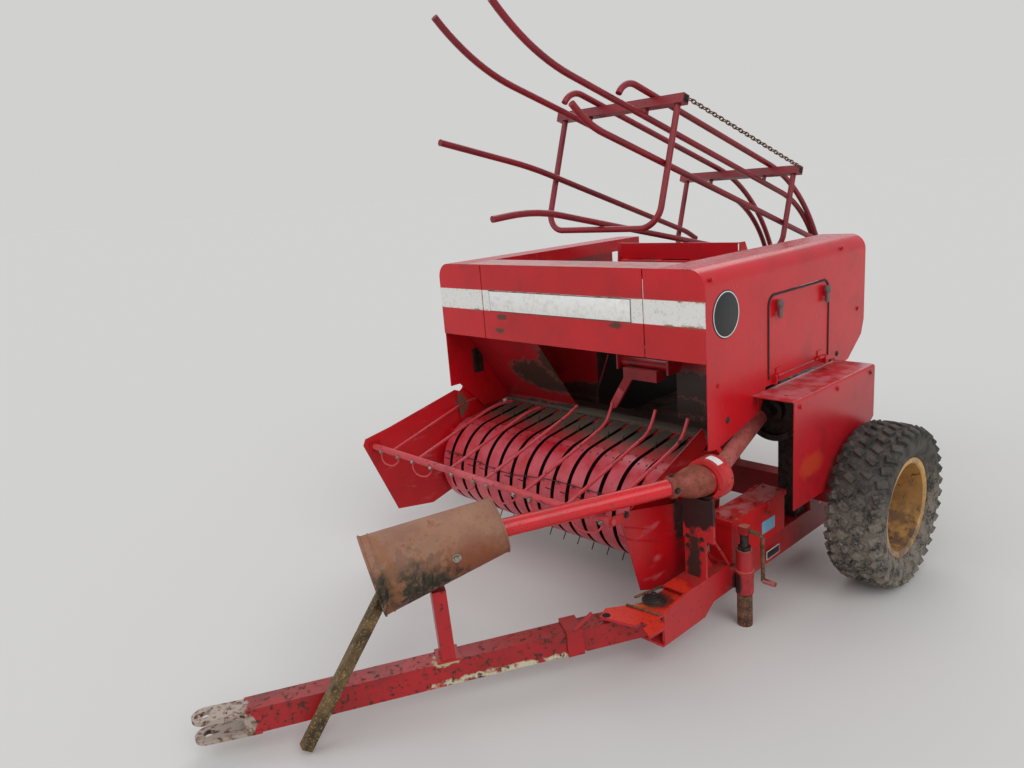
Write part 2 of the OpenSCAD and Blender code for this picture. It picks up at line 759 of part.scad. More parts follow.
module tongue() {
    tongue_place() color(red) difference() {
        union() {
            rotate([tongue_rise, 0, 0])
                box([-tongue_w / 2, 120, -tongue_h / 2], [tongue_w, tongue_l - 150, tongue_h]);
            for (z = [-hitch_gap / 2 - hitch_plate, hitch_gap / 2]) translate([0, 0, z]) {
                cylinder(h = hitch_plate, r = 42);
                translate([-42, 0, 0]) cube([84, 170, hitch_plate]);
            }
            translate([0, tongue_l, fork_z + fork_t + run]) cylinder(h = fork_gap - 2 * run, r = 44);
        }
        translate([0, 0, -80]) cylinder(h = 160, r = hitch_r);
        translate([0, tongue_l, fork_z]) cylinder(h = 200, r = pivot_r + run);
        translate([-30, 0, -hitch_gap / 2]) cube([60, 118, hitch_gap]);
    }
}

// Strap and latch lever on the tongue's rear end
module tongue_lock() {
    y = tongue_l - 345;
    side = tongue_w / 2 + seat;
    top = tongue_h / 2 + seat;
    tongue_place() rotate([tongue_rise, 0, 0]) color(red) {
        for (x = [-side - 8, side]) box([x, y, top - 90], [8, 60, 100]);
        box([-side - 8, y, top], [2 * side + 16, 60, 10]);
        bar([side + 4, y + 30, top + 6], [side + 4, y + 100, top + 56], 8);
    }
}

module support_post() {
    z0 = tongue_h / 2 + seat;
    tongue_place() rotate([tongue_rise, 0, 0]) color(red) {
        box([-42, post_at - 24, z0], [84, 48, 262]);
        box([-44, post_at - 40, z0], [88, 80, 8]);
    }
}

// Stand

jack_x = left + 52;
jack_y = front_y + 149;

module jack_sleeve() {
    color(red) {
        translate([jack_x, jack_y, ground + 136]) difference() {
            cylinder(h = 88, r = 34);
            translate([0, 0, -1]) cylinder(h = 90, r = 29 + run);
        }
        translate([jack_x, jack_y, ground + 224]) difference() {
            cylinder(h = 78, r = 31);
            translate([0, 0, -1]) cylinder(h = 72, r = 29 + run);
        }
        box([left, jack_y - 22, ground + 150], [22, 44, 76]);
    }
    color(steel) {
        translate([jack_x, jack_y, ground + 302]) cylinder(h = 10, r = 30);
        translate([jack_x, jack_y, ground + 312]) cylinder(h = 96, r = 14);
        translate([jack_x, jack_y, ground + 392]) cube([36, 36, 32], center = true);
    }
}

module jack_leg() {
    color("indianred") difference() {
        translate([jack_x, jack_y, ground]) cylinder(h = 226, r = 29);
        translate([jack_x, jack_y, ground + 8]) cylinder(h = 230, r = 24);
    }
}

module jack_crank() {
    x = jack_x + 18 + run;
    z = ground + 392;
    color(steel) {
        cross_tube(x, jack_y, z, 36, 8);
        bar([x + 32, jack_y, z], [x + 32, jack_y + 44, z - 34], 8);
        bar([x + 32, jack_y + 44, z - 30], [x + 32, jack_y + 48, z - 216], 8);
        bar([x + 26, jack_y + 48, z - 210], [x + 84, jack_y + 48, z - 214], 8);
    }
}

// Pickup

pick_left = first_slot - 57;
pick_right = left - 210;

// Slopes of the bands' straight tops and of their tails
band_up = 8;
band_down = 22;

module pickup_frame() {
    tail = [pickup_y - (band_r - 6) * sin(band_up) + 236 * cos(band_up),
        pickup_z + (band_r - 6) * cos(band_up) + 236 * sin(band_up)];
    color(red) {
        for (x = [pick_left - 6 - seat, pick_right + seat]) difference() {
            union() {
                cross_tube(x, pickup_y, pickup_z, 6, band_r - 12, 64);
                side_plate(x, 6, [[pickup_y - 20, pickup_z + 40], [pickup_y - 10, pickup_z + band_r - 12],
                    [tail[0], tail[1] - 10], [lift[0] + 18, lift[1] + 18], [lift[0] + 18, lift[1] - 18],
                    [pickup_y + 120, pickup_z - 60]]);
            }
            cross_tube(x - 5, pickup_y, pickup_z, 16, 26 + run);
        }
        cross_tube(pick_left - 20, lift[0], lift[1], pick_right - pick_left + 40, 14);
        translate([pick_left - seat, pickup_y, pickup_z]) rotate([90, 0, 90])
            linear_extrude(pick_right - pick_left + 2 * seat) rotate(band_up)
                translate([212, band_r - band_t - 20 - seat]) square([34, 20]);
        translate([pick_left - seat, pickup_y, pickup_z]) rotate([90, 0, 90])
            linear_extrude(pick_right - pick_left + 2 * seat) rotate(-band_down)
                translate([148, -band_r + band_t + seat]) square([30, 12]);
        for (x = [pick_left - 6 - seat, pick_right + seat]) side_plate(x, 6, [
            [pickup_y + 20, pickup_z - band_r + 40], [pickup_y + 150, pickup_z - 100],
            [pickup_y + 126, pickup_z - 276], [pickup_y + 50, pickup_z - 276]]);
    }
}

// A band of width w with its edges folded in: round front, straight top and a tail
// underneath. The folds end before the frame's cross bars.
module band(w) {
    rotate([90, 0, 90]) {
        rotate(90 + band_up) rotate_extrude(angle = 180 - band_up - band_down, $fn = 96)
            translate([band_r, 0]) polygon([[-fold, 0], [0, 0], [0, w], [-fold, w], [-fold, w - fold_t],
                [-band_t, w - fold_t], [-band_t, fold_t], [-fold, fold_t]]);
        rotate(band_up) band_tail(w, 246, 200, 1);
        rotate(-band_down) band_tail(w, 179, 140, -1);
    }
}

// A band's straight end, s = 1 for the top and -1 for the tail underneath
module band_tail(w, length, folded, s) {
    scale([1, s, 1]) {
        translate([-lap, band_r - band_t + swell, swell])
            cube([lap + length, band_t - 2 * swell, w - 2 * swell]);
        for (z = [swell, w - fold_t + swell]) translate([-lap, band_r - fold + swell, z])
            cube([lap + folded, fold - 2 * swell, fold_t - 2 * swell]);
    }
}

module pickup_bands() {
    color(red) for (k = [0:slots]) {
        x0 = (k == 0) ? pick_left : first_slot + (k - 1) * band_pitch + slot_w / 2;
        x1 = (k == slots) ? pick_right : first_slot + k * band_pitch - slot_w / 2;
        translate([x0, pickup_y, pickup_z]) band(x1 - x0);
    }
}

module pickup_reel() {
    color(steel) {
        cross_tube(pick_left - 20, pickup_y, pickup_z, pick_right - pick_left + 40, 26, 32);
        for (k = [0:tine_bars - 1]) translate([0, pickup_y, pickup_z])
            rotate([20 + k * 360 / tine_bars, 0, 0]) {
            cross_tube(pick_left + 8, 0, 150, pick_right - pick_left - 16, 12, 16);
            for (x = [pick_left + 20, pick_right - 32]) box([x, -15, 0], [10, 30, 150]);
            for (g = [0:slots - 1]) translate([first_slot + g * band_pitch, 0, 150])
                cylinder(h = tine_tip - 150, r = tine_r, $fn = 8);
        }
    }
}

// Side sheet on the left in the photograph, turned outwards to gather the crop
gather_turn = 18.6;

module gather_left() {
    x = pick_left - 44;
    eye_x = x - 115;
    color(red) {
        translate([x, front_y - 6, 0]) rotate([0, 0, -gather_turn])
            side_plate(-4, 4, [[-425, guard_z + 10], [-412, guard_z + 40], [-290, guard_z + 76],
                [60, roof - 629], [90, roof - 640], [90, pickup_z - 100], [-110, pickup_z - 190],
                [-290, pickup_z - 180]]);
        for (z = [-120, 110]) box([x + 8, front_y + 10, pickup_z + z], [30 - seat, 50, 60]);
        difference() {
            side_plate(eye_x, 6, [[guard_y - 22, guard_z - 22], [guard_y - 22, guard_z + 22],
                [guard_y + 60, guard_z + 22], [guard_y + 60, guard_z - 22]]);
            cross_tube(eye_x - 20, guard_y, guard_z, 40, guard_r - 4 + run);
        }
    }
}

module gather_right() {
    x = left - 154;
    eye = 17;
    color(red) {
        difference() {
            side_plate(x, 4, [[front_y - 318, roof - 850], [guard_y - eye, guard_z - eye],
                [guard_y - eye, guard_z + eye], [guard_y + eye, guard_z + eye], [front_y - 285, roof - 819],
                [front_y + 97, roof - 906], [front_y + 101, roof - 1268], [front_y - 226, roof - 1150]]);
            cross_tube(x - 5, guard_y, guard_z, 20, guard_r - 4 + run);
        }
        side_plate(pick_right + 6 + 2 * seat, 4, [[front_y - 216, roof - 856], [front_y + 265, roof - 668],
            [front_y + 300, roof - 740], [front_y - 100, roof - 1000]]);
        for (z = [[60, 75], [-100, 40]]) box([pick_right + 6 + 2 * seat, pickup_y - 60, pickup_z + z[0]],
            [x - pick_right - 6 - 2 * seat, 40, z[1]]);
    }
}

// Bar of the windguard with its rods. A rod is given by its place along the bar and by
// its straight length, the radius of its bend and the angle that it bends through.
module windguard() {
    rods = [[-619, 430, 400, -22], [-423, 430, 400, -20], [-197, 440, 400, -14], [25, 520, 300, 8],
        [253, 480, 120, 44], [477, 480, 120, 46], [640, 470, 120, 44]];
    rod_rise = 15.5;
    low = pick_left - 152;
    end = left - 154;
    color(red) {
        cross_tube(low, guard_y, guard_z, end - 2 - low, guard_r);
        cross_tube(low - 7.3, guard_y, guard_z, end + 10 - low + 7.3, guard_r - 4);
        for (rod = rods) translate([rod[0], guard_y, guard_z]) rotate([90, 0, 90])
            bent_tube([0, 4], rod_rise, [[rod[1], rod[2], rod[3]], [45, 0, 0]], 7);
    }
}

// Wheels

module tyre_body(s) {
    bead = rim_r - 20 + seat;
    w = tyre_w / 2;
    translate([s * track_half, axle_y, axle_z]) rotate([0, 90, 0]) color("dimgray") {
        rotate_extrude($fn = 96) polygon([[bead, -80 + seat], [rim_r + seat, -80 + seat],
            [rim_r + 6, -w + 14], [rim_r + 40, -w], [tyre_r - 48, -w + 6], [tyre_r - 12, -w + 26],
            [tyre_r - 7, 0], [tyre_r - 12, w - 26], [tyre_r - 48, w - 6], [rim_r + 40, w],
            [rim_r + 6, w - 14], [rim_r + seat, 80 - seat], [bead, 80 - seat]]);
        for (k = [0:23]) rotate([0, 0, k * 15 + 3]) translate([tyre_r - 30, -14, -72]) cube([30, 28, 144]);
    }
}

module rim_body(s) {
    translate([s * track_half, axle_y, axle_z]) rotate([0, s * 90, 0]) color("goldenrod") difference() {
        union() {
            rotate_extrude($fn = 96) polygon([[rim_r - 26, -80], [rim_r - 20, -86], [rim_r, -86],
                [rim_r, -80], [rim_r - 20, -80], [rim_r - 20, 80], [rim_r, 80], [rim_r, 86],
                [rim_r - 20, 86], [rim_r - 26, 80]]);
            translate([0, 0, -66]) cylinder(h = 10, r = rim_r - 20);
            translate([0, 0, -84]) cylinder(h = 60, r = 52);
        }
        translate([0, 0, -120]) cylinder(h = 240, r = spindle_r + run);
    }
}

module tyre_left() { tyre_body(1); }
module tyre_right() { tyre_body(-1); }
module rim_left() { rim_body(1); }
module rim_right() { rim_body(-1); }

// Bale chute. Its places in Y and Z are counted from the front panel's upper edge, and
// its directions are degrees from rearwards towards up.

// Draws in the chute's side view, in the plane at x from the machine's middle
module chute_place(x) {
    translate([middle + x, front_y, roof]) rotate([90, 0, 90]) children();
}

// A tube from p in direction a, made of stretches [straight length, bend radius, bend angle].
// The straights run a little way into the bends, which are a hair thicker.
module bent_tube(p, a, stretches, r = rail_r, k = 0) {
    if (k < len(stretches)) {
        straight = stretches[k][0];
        radius = stretches[k][1];
        turn = stretches[k][2];
        side = turn < 0 ? -1 : 1;
        before = k > 0 ? lap : 0;
        after = turn != 0 ? lap : 0;
        q = p + straight * [cos(a), sin(a)];
        c = q + side * radius * [-sin(a), cos(a)];
        start = a - side * 90;
        if (straight > 0) translate([p[0] - before * cos(a), p[1] - before * sin(a), 0]) rotate([0, 90, a])
            cylinder(h = before + straight + after, r = r, $fn = 16);
        if (turn != 0) translate([c[0], c[1], 0]) rotate(min(start, start + turn))
            rotate_extrude(angle = abs(turn), $fn = 72) translate([radius, 0])
                circle(r = r + swell, $fn = 16);
        bent_tube(c + radius * [cos(start + turn), sin(start + turn)], a + turn, stretches, r, k + 1);
    }
}

rail_up = 180 - chute_tilt;
hinge_low = [2030, -425];

module chute_rails() {
    color(dark_red) {
        for (x = [-154, 151]) chute_place(x)
            bent_tube(hinge_low, 91.5, [[0, 659.5, 70], [1645, 950, -26.5]]);
        for (x = [-109, 178]) chute_place(x)
            bent_tube(hinge_low, 97.8, [[0, 927.4, 63.7], [1091, 95, 72.5]]);
    }
    color(steel) {
        cross_tube(middle - 215, hinge[0], hinge[1], 430, 18);
        cross_tube(middle - 250, hinge[0], hinge[1], 500, 12);
    }
}

// Cross bar and hoop whose bar is at p in side view
module hoop(p, depth) {
    reach = hoop_half - hoop_r;
    leg = depth - hoop_r - cross_s / 2;
    translate([middle, front_y + p[0], roof + p[1]]) rotate([-chute_tilt, 0, 0]) {
        cube([cross_l, cross_s, cross_s], center = true);
        for (s = [-1, 1]) translate([s * hoop_half, 0, -depth + hoop_r - lap])
            cylinder(h = leg + lap + 1, r = rail_r, $fn = 16);
        translate([-reach - lap, 0, -depth]) rotate([0, 90, 0])
            cylinder(h = 2 * (reach + lap), r = rail_r, $fn = 16);
        for (s = [0, 1]) mirror([s, 0, 0]) translate([reach, 0, -depth + hoop_r])
            rotate([90, 0, 0]) rotate([0, 0, -90]) rotate_extrude(angle = 90, $fn = 48)
                translate([hoop_r, 0]) circle(r = rail_r + swell, $fn = 16);
        for (x = [-154, 151]) box([x - 4, -12, -36.7], [8, 24, 20]);
    }
}

module chute_hoops() {
    side_x = hoop_half - 2 * rail_r + 0.5;
    color(dark_red) {
        hoop([480, 604], hoop_front);
        hoop([1415, 291], hoop_rear);
        chute_place(side_x) bent_tube([1700, -68], rail_up, [[1750, 400, -22], [40, 0, 0]]);
        chute_place(-side_x) bent_tube([1440, -30], 153, [[60, 500, 8.5], [1050, 2500, 5.5], [380, 0, 0]]);
        chute_place(0) bent_tube([1340, -78], 167.8, [[1290, 1000, 16], [90, 0, 0]]);
    }
}

// Chain hanging from the front cross bar's left-hand end to the second one's
module chute_chain() {
    x = middle + cross_l / 2 + 6.3;
    color(steel) for (k = [0:7])
        bar([x, front_y + 484 + k * 117, roof + 604 - k * 38.5],
            [x, front_y + 484 + (k + 1) * 117, roof + 604 - (k + 1) * 38.5], 6, 12);
}

// Needles on their yoke below the chamber, with the points down
needle_down = 64;
needle_reach = 450;

module needle_yoke() {
    py = needle[0];
    pz = needle[1];
    hub = bale_w / 2 + chamber_t + 26;
    color(dark_red) {
        for (s = [-1, 1]) translate([middle + s * (hub + 12), py, pz]) difference() {
            union() {
                rotate([-needle_down, 0, 0]) box([-6, 0, -20], [12, needle_reach + 10, 40]);
                translate([-12, 0, 0]) rotate([0, 90, 0]) cylinder(h = 24, r = 28);
            }
            translate([-20, 0, 0]) rotate([0, 90, 0]) cylinder(h = 40, r = 14 + run);
        }
        translate([0, py, pz]) rotate([-needle_down, 0, 0])
            cross_tube(middle - hub - 18, needle_reach, 0, 2 * (hub + 18), 16);
        for (s = [-1, 1]) translate([middle + s * 90 - 5, py, pz]) rotate([90, 0, 90]) rotate(-needle_down)
            rotate_extrude(angle = 56, $fn = 96) translate([needle_reach - 12, 0]) square([24, 10]);
    }
}

main_frame();
axle();
chamber_floor();
chamber_roof();
chamber_left();
chamber_right();
tension_rails();
gearbox();
hood_front();
hood_left();
hood_right();
hood_roof();
access_door();
drive_shield();
knotter_frame();
cover_brackets();
knotter_cover();
toolbox();
toolbox_lid();
flywheel();
feeder_housing();
packer();
drive_stand();
rear_tube();
front_tube();
front_bell();
square_drive_bar();
tongue();
tongue_lock();
support_post();
jack_sleeve();
jack_leg();
jack_crank();
pickup_frame();
gather_left();
gather_right();
pickup_bands();
pickup_reel();
windguard();
tyre_left();
rim_left();
tyre_right();
rim_right();
chute_rails();
chute_hoops();
chute_chain();
needle_yoke();
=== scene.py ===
import math
import random

import bpy
from mathutils import Matrix, Vector


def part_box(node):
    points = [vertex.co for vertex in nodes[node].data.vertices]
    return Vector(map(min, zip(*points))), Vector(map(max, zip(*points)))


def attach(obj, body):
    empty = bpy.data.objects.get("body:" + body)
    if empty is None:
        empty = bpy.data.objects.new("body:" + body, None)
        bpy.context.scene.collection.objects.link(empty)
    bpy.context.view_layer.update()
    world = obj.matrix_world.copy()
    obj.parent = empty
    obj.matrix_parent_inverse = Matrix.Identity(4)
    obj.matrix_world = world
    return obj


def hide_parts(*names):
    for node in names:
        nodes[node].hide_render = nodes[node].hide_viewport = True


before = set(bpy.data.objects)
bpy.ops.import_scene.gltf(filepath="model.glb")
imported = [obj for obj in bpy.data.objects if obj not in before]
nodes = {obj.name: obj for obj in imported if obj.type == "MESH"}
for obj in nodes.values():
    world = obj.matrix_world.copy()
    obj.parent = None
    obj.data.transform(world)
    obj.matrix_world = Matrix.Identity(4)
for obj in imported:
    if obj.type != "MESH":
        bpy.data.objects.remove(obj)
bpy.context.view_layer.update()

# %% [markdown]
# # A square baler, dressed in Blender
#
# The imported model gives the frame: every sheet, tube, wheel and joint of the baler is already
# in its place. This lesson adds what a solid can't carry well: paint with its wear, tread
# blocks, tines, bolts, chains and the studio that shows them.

MM = 0.001


def clear():
    """Leaves nothing selected, because an operator acts on all that is."""
    if bpy.context.object and bpy.context.object.mode != "OBJECT":
        bpy.ops.object.mode_set(mode="OBJECT")
    bpy.ops.object.select_all(action="DESELECT")


def start(shape, name, **how):
    """Adds a primitive by its operator and returns it, alone in the selection."""
    clear()
    getattr(bpy.ops.mesh, f"primitive_{shape}_add")(**how)
    piece = bpy.context.object
    piece.name = piece.data.name = name
    return piece


def only(piece):
    """Selects this one piece and makes it the active one."""
    clear()
    piece.select_set(True)
    bpy.context.view_layer.objects.active = piece


def pick(piece, test, mode="FACE"):
    """Goes into edit mode with the faces, edges or vertices that pass the test selected."""
    only(piece)
    bpy.ops.object.mode_set(mode="EDIT")
    bpy.ops.mesh.select_mode(type=mode)
    bpy.ops.mesh.select_all(action="DESELECT")
    bpy.ops.object.mode_set(mode="OBJECT")
    mesh = piece.data
    if mode == "FACE":
        for face in mesh.polygons:
            face.select = test(face.center, face.normal)
    elif mode == "EDGE":
        for edge in mesh.edges:
            a, b = (mesh.vertices[v].co for v in edge.vertices)
            edge.select = test(a, b)
    else:
        for vertex in mesh.vertices:
            vertex.select = test(vertex.co)
    bpy.ops.object.mode_set(mode="EDIT")


def settle(piece):
    """Puts the piece's place, turn and size into its mesh, so that its object sits at the origin."""
    only(piece)
    bpy.ops.object.transform_apply(location=True, rotation=True, scale=True)


def modify(piece, kind, **settings):
    """Adds a modifier and applies it."""
    only(piece)
    made = piece.modifiers.new(kind.title(), kind)
    for key, value in settings.items():
        setattr(made, key, value)
    bpy.ops.object.modifier_apply(modifier=made.name)


def copies(piece, places, name):
    """Copies a finished piece to many places, joins the copies and takes the first one away."""
    made = []
    for place in places:
        twin = piece.copy()
        twin.data = piece.data.copy()
        bpy.context.collection.objects.link(twin)
        twin.matrix_world = place @ piece.matrix_world
        made.append(twin)
    bpy.data.objects.remove(piece)
    return join(made, name)


def join(parts, name):
    """Joins pieces into one and settles it."""
    clear()
    for part in parts:
        part.select_set(True)
    bpy.context.view_layer.objects.active = parts[0]
    if len(parts) > 1:
        bpy.ops.object.join()
    whole = bpy.context.object
    whole.name = whole.data.name = name
    settle(whole)
    return whole


def dress(piece, material, body):
    """Gives a piece its material, its smooth shading and the body that it rides on."""
    if material is not None:
        piece.data.materials.clear()
        piece.data.materials.append(material)
    only(piece)
    bpy.ops.object.shade_smooth_by_angle(angle=math.radians(35))
    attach(piece, body)
    print(f"{piece.name}: {len(piece.data.polygons)} faces on {body}")
    return piece


def along(direction):
    """The turn that carries the Z axis into a direction."""
    return Vector(direction).to_track_quat("Z", "Y").to_matrix().to_4x4()


def line(points, name):
    """Draws a chain of edges through the points, starting from one vertex."""
    piece = start("plane", name, size=0.002)
    bpy.ops.object.mode_set(mode="EDIT")
    bpy.ops.mesh.select_mode(type="VERT")
    bpy.ops.mesh.select_all(action="SELECT")
    bpy.ops.mesh.merge(type="CENTER")
    bpy.ops.transform.translate(value=Vector(points[0]))
    for a, b in zip(points, points[1:]):
        bpy.ops.mesh.extrude_vertices_move(TRANSFORM_OT_translate={"value": Vector(b) - Vector(a)})
    bpy.ops.object.mode_set(mode="OBJECT")
    return piece


def rounded(points, steps=6):
    """Puts more points between these, on a smooth curve through all of them."""
    v = [Vector(p) for p in points]
    v = [2 * v[0] - v[1], *v, 2 * v[-1] - v[-2]]
    out = []
    for k in range(1, len(v) - 2):
        for step in range(steps):
            t = step / steps
            out.append(0.5 * (2 * v[k] + (v[k + 1] - v[k - 1]) * t
                              + (2 * v[k - 1] - 5 * v[k] + 4 * v[k + 1] - v[k + 2]) * t * t
                              + (3 * v[k] - v[k - 1] - 3 * v[k + 1] + v[k + 2]) * t ** 3))
    return out + [v[-2]]


def wire(points, radius, name, sides=3):
    """A round bar or wire through the points, with closed ends."""
    piece = line(points, name)
    bpy.ops.object.convert(target="CURVE")
    piece = bpy.context.object
    piece.data.bevel_depth = radius
    piece.data.bevel_resolution = sides
    piece.data.use_fill_caps = True
    bpy.ops.object.convert(target="MESH")
    return bpy.context.object


def lathe(profile, name, place=(0, 0, 0), direction=(0, 0, 1), steps=48):
    """Spins a profile of (radius, height) about Z, then stands it at its place along a direction."""
    piece = line([(r, 0, z) for r, z in profile], name)
    bpy.ops.object.mode_set(mode="EDIT")
    bpy.ops.mesh.select_all(action="SELECT")
    bpy.ops.mesh.spin(steps=steps, angle=2 * math.pi, center=(0, 0, 0), axis=(0, 0, 1))
    bpy.ops.mesh.select_all(action="SELECT")
    bpy.ops.mesh.remove_doubles(threshold=0.00002)
    bpy.ops.mesh.normals_make_consistent(inside=False)
    bpy.ops.object.mode_set(mode="OBJECT")
    piece.matrix_world = Matrix.Translation(place) @ along(direction)
    settle(piece)
    return piece


def block(low, high, name, bevel=0.0012):
    """A piece of bar or plate between two corners, its edges eased."""
    low, high = Vector(low), Vector(high)
    piece = start("cube", name, size=1, location=(low + high) / 2, scale=high - low)
    settle(piece)
    bpy.ops.object.mode_set(mode="EDIT")
    bpy.ops.mesh.select_all(action="SELECT")
    bpy.ops.mesh.bevel(offset=bevel, segments=2, affect="EDGES")
    bpy.ops.object.mode_set(mode="OBJECT")
    return piece


def plate(outline, thickness, name, bevel=0.0008):
    """A sheet with this outline, thickened on both sides and eased."""
    piece = line([*outline, outline[0]], name)
    bpy.ops.object.mode_set(mode="EDIT")
    bpy.ops.mesh.select_all(action="SELECT")
    bpy.ops.mesh.remove_doubles(threshold=0.00005)
    bpy.ops.mesh.edge_face_add()
    bpy.ops.object.mode_set(mode="OBJECT")
    modify(piece, "SOLIDIFY", thickness=thickness, offset=0)
    modify(piece, "BEVEL", width=bevel, segments=2)
    return piece


def bolts(name, heads, finish, body):
    """Hexagon heads on washers, each given by its place, its direction and its radius."""
    head = start("cylinder", name, vertices=6, radius=0.010, depth=0.007, location=(0, 0, 0.0055))
    settle(head)
    pick(head, lambda c, n: n.z > 0.9)
    bpy.ops.mesh.inset(thickness=0.0012, depth=0.0009)
    bpy.ops.object.mode_set(mode="OBJECT")
    washer = lathe([(0.004, 0.0022), (0.0145, 0.0022), (0.015, 0.0016), (0.015, -0.0015)], name + "_washer", steps=20)
    seed = join([head, washer], name)
    places = [Matrix.Translation(p) @ along(d) @ Matrix.Scale(r / 0.010, 4) for p, d, r in heads]
    return dress(copies(seed, places, name), finish, body)


# %% [markdown]
# ## The camera and the studio
#
# The camera stands where the photographer stood, a little above the hood and ahead of it on the
# machine's left-hand side. Its place and lens were worked out from the lines of the sheet metal.
# The floor is pale and the light is soft, so that the colours come out as they are written.

# %% Camera
camera_data = bpy.data.cameras.new("camera")
camera_data.sensor_width = 36
camera_data.lens = 28.09
camera = bpy.data.objects.new("camera", camera_data)
bpy.context.collection.objects.link(camera)
right = Vector((0.686, 0.723, -0.078)).normalized()
back = Vector((0.717, -0.655, 0.240))
back = (back - back.dot(right) * right).normalized()
up = back.cross(right)
turn = Matrix((right, up, back)).transposed()
camera.matrix_world = Matrix.Translation((2.3863, -0.7316, 1.6074)) @ turn.to_4x4()
bpy.context.scene.camera = camera
bpy.context.scene.view_settings.view_transform = "Standard"
print("camera looks along", [round(v, 3) for v in -back])


# %% One function for colours and one for shader nodes
def colour(code):
    """Turns an sRGB hex code into the linear colour that a shader wants."""
    parts = [int(code[k : k + 2], 16) / 255 for k in (0, 2, 4)]
    linear = [p / 12.92 if p <= 0.04045 else ((p + 0.055) / 1.055) ** 2.4 for p in parts]
    return (*linear, 1.0)


def add(tree, kind, links=None, **settings):
    """Adds a shader node, sets it up and links or fills its sockets."""
    made = tree.nodes.new("ShaderNode" + kind)
    for key, value in settings.items():
        setattr(made, key, value)
    for socket, value in (links or {}).items():
        if isinstance(value, bpy.types.NodeSocket):
            tree.links.new(value, made.inputs[socket])
        else:
            made.inputs[socket].default_value = value
    return made


def material(name):
    """Makes an empty material and returns it with its node tree."""
    made = bpy.data.materials.new(name)
    made.use_nodes = True
    made.node_tree.nodes.clear()
    return made, made.node_tree


# %% Floor, world and lamps
GROUND = -0.1
floor = start("plane", "floor", size=400, location=(0, 2, GROUND))
floor_finish, tree = material("studio_floor_paint")
shine = add(tree, "BsdfPrincipled", {"Base Color": colour("D2D0CC"), "Roughness": 1.0, "Specular IOR Level": 0.0})
add(tree, "OutputMaterial", {"Surface": shine.outputs[0]})
floor.data.materials.append(floor_finish)

world = bpy.data.worlds.new("studio")
world.use_nodes = True
bpy.context.scene.world = world
tree = world.node_tree
tree.nodes.clear()
ray = add(tree, "LightPath")
soft = add(tree, "Background", {"Color": colour("EEF3FA"), "Strength": 0.55})
plain = add(tree, "Background", {"Color": colour("D1D1D0"), "Strength": 1.0})
seen = add(tree, "MixShader", {0: ray.outputs["Is Camera Ray"], 1: soft.outputs[0], 2: plain.outputs[0]})
add(tree, "OutputWorld", {"Surface": seen.outputs[0]})


def lamp(name, away, width, power):
    """A wide, far lamp whose light comes from this direction, the same all over the floor."""
    data = bpy.data.lights.new(name, "SUN")
    data.angle = math.radians(width)
    data.energy = power
    box = bpy.data.objects.new(name, data)
    bpy.context.collection.objects.link(box)
    box.matrix_world = Vector(away).to_track_quat("Z", "Y").to_matrix().to_4x4()


lamp("soft_lamp_left", (5.0, -1.5, 4.5), 45, 1.0)
lamp("soft_lamp_front", (-1.5, -5.0, 4.0), 60, 0.75)
lamp("soft_lamp_back", (-3.0, 4.5, 5.0), 50, 0.8)

# %% [markdown]
# ## Paint on steel that has stood outdoors
#
# A baler is sheet steel and box section under red alkyd enamel. Out of doors the enamel fades
# in clouds, chips along the edges down to brown rust, and keeps streaks of dirt where rain ran.
# Each of these is a mask here, laid over the paint like a coat. The patterns read Object
# coordinates, so their sizes are real sizes, and they stay on a piece when it moves.


# %% Masks that the finishes share
def coordinates(tree, stretch=(1, 1, 1)):
    """Object coordinates, stretched where a pattern runs in one direction."""
    where = add(tree, "TexCoord")
    return add(tree, "Mapping", {"Vector": where.outputs["Object"], "Scale": stretch}).outputs[0]


def patches(tree, size, low, high, stretch=(1, 1, 1), detail=5.0, rough=0.6):
    """A mask of cloudy patches of about this size in metres, 0 below low and 1 above high."""
    cloud = add(tree, "TexNoise", {"Vector": coordinates(tree, stretch), "Scale": 1 / size,
                                   "Detail": detail, "Roughness": rough})
    return add(tree, "MapRange", {"Value": cloud.outputs[0], "From Min": low, "From Max": high}).outputs[0]


def edges(tree, radius, low=0.93, high=0.7):
    """A mask of the outer edges, found where a rounded normal leaves the flat one."""
    rounded = add(tree, "Bevel", {"Radius": radius}, samples=4)
    flat = add(tree, "NewGeometry")
    near = add(tree, "VectorMath", {0: rounded.outputs[0], 1: flat.outputs["True Normal"]}, operation="DOT_PRODUCT")
    return add(tree, "MapRange", {"Value": near.outputs["Value"], "From Min": low, "From Max": high}).outputs[0]


def maths(tree, operation, a, b=0.5):
    """A sum, product or other step between two masks, kept between 0 and 1."""
    return add(tree, "Math", {0: a, 1: b}, operation=operation, use_clamp=True).outputs[0]


def band(tree, axis, low, high, soft=0.002):
    """A mask that is 1 between two places along an axis."""
    split = add(tree, "SeparateXYZ", {0: coordinates(tree)}).outputs[axis]
    above = add(tree, "MapRange", {"Value": split, "From Min": low - soft, "From Max": low + soft}).outputs[0]
    below = add(tree, "MapRange", {"Value": split, "From Min": high + soft, "From Max": high - soft}).outputs[0]
    return maths(tree, "MULTIPLY", above, below)


def upward(tree, low=0.75, high=0.98):
    """A mask of what faces up, where dust and leaf dirt lie and where some finishes carry a painted sheen."""
    faces = add(tree, "TexCoord").outputs["Normal"]
    lift = add(tree, "SeparateXYZ", {0: faces}).outputs["Z"]
    return add(tree, "MapRange", {"Value": lift, "From Min": low, "From Max": high}).outputs[0]


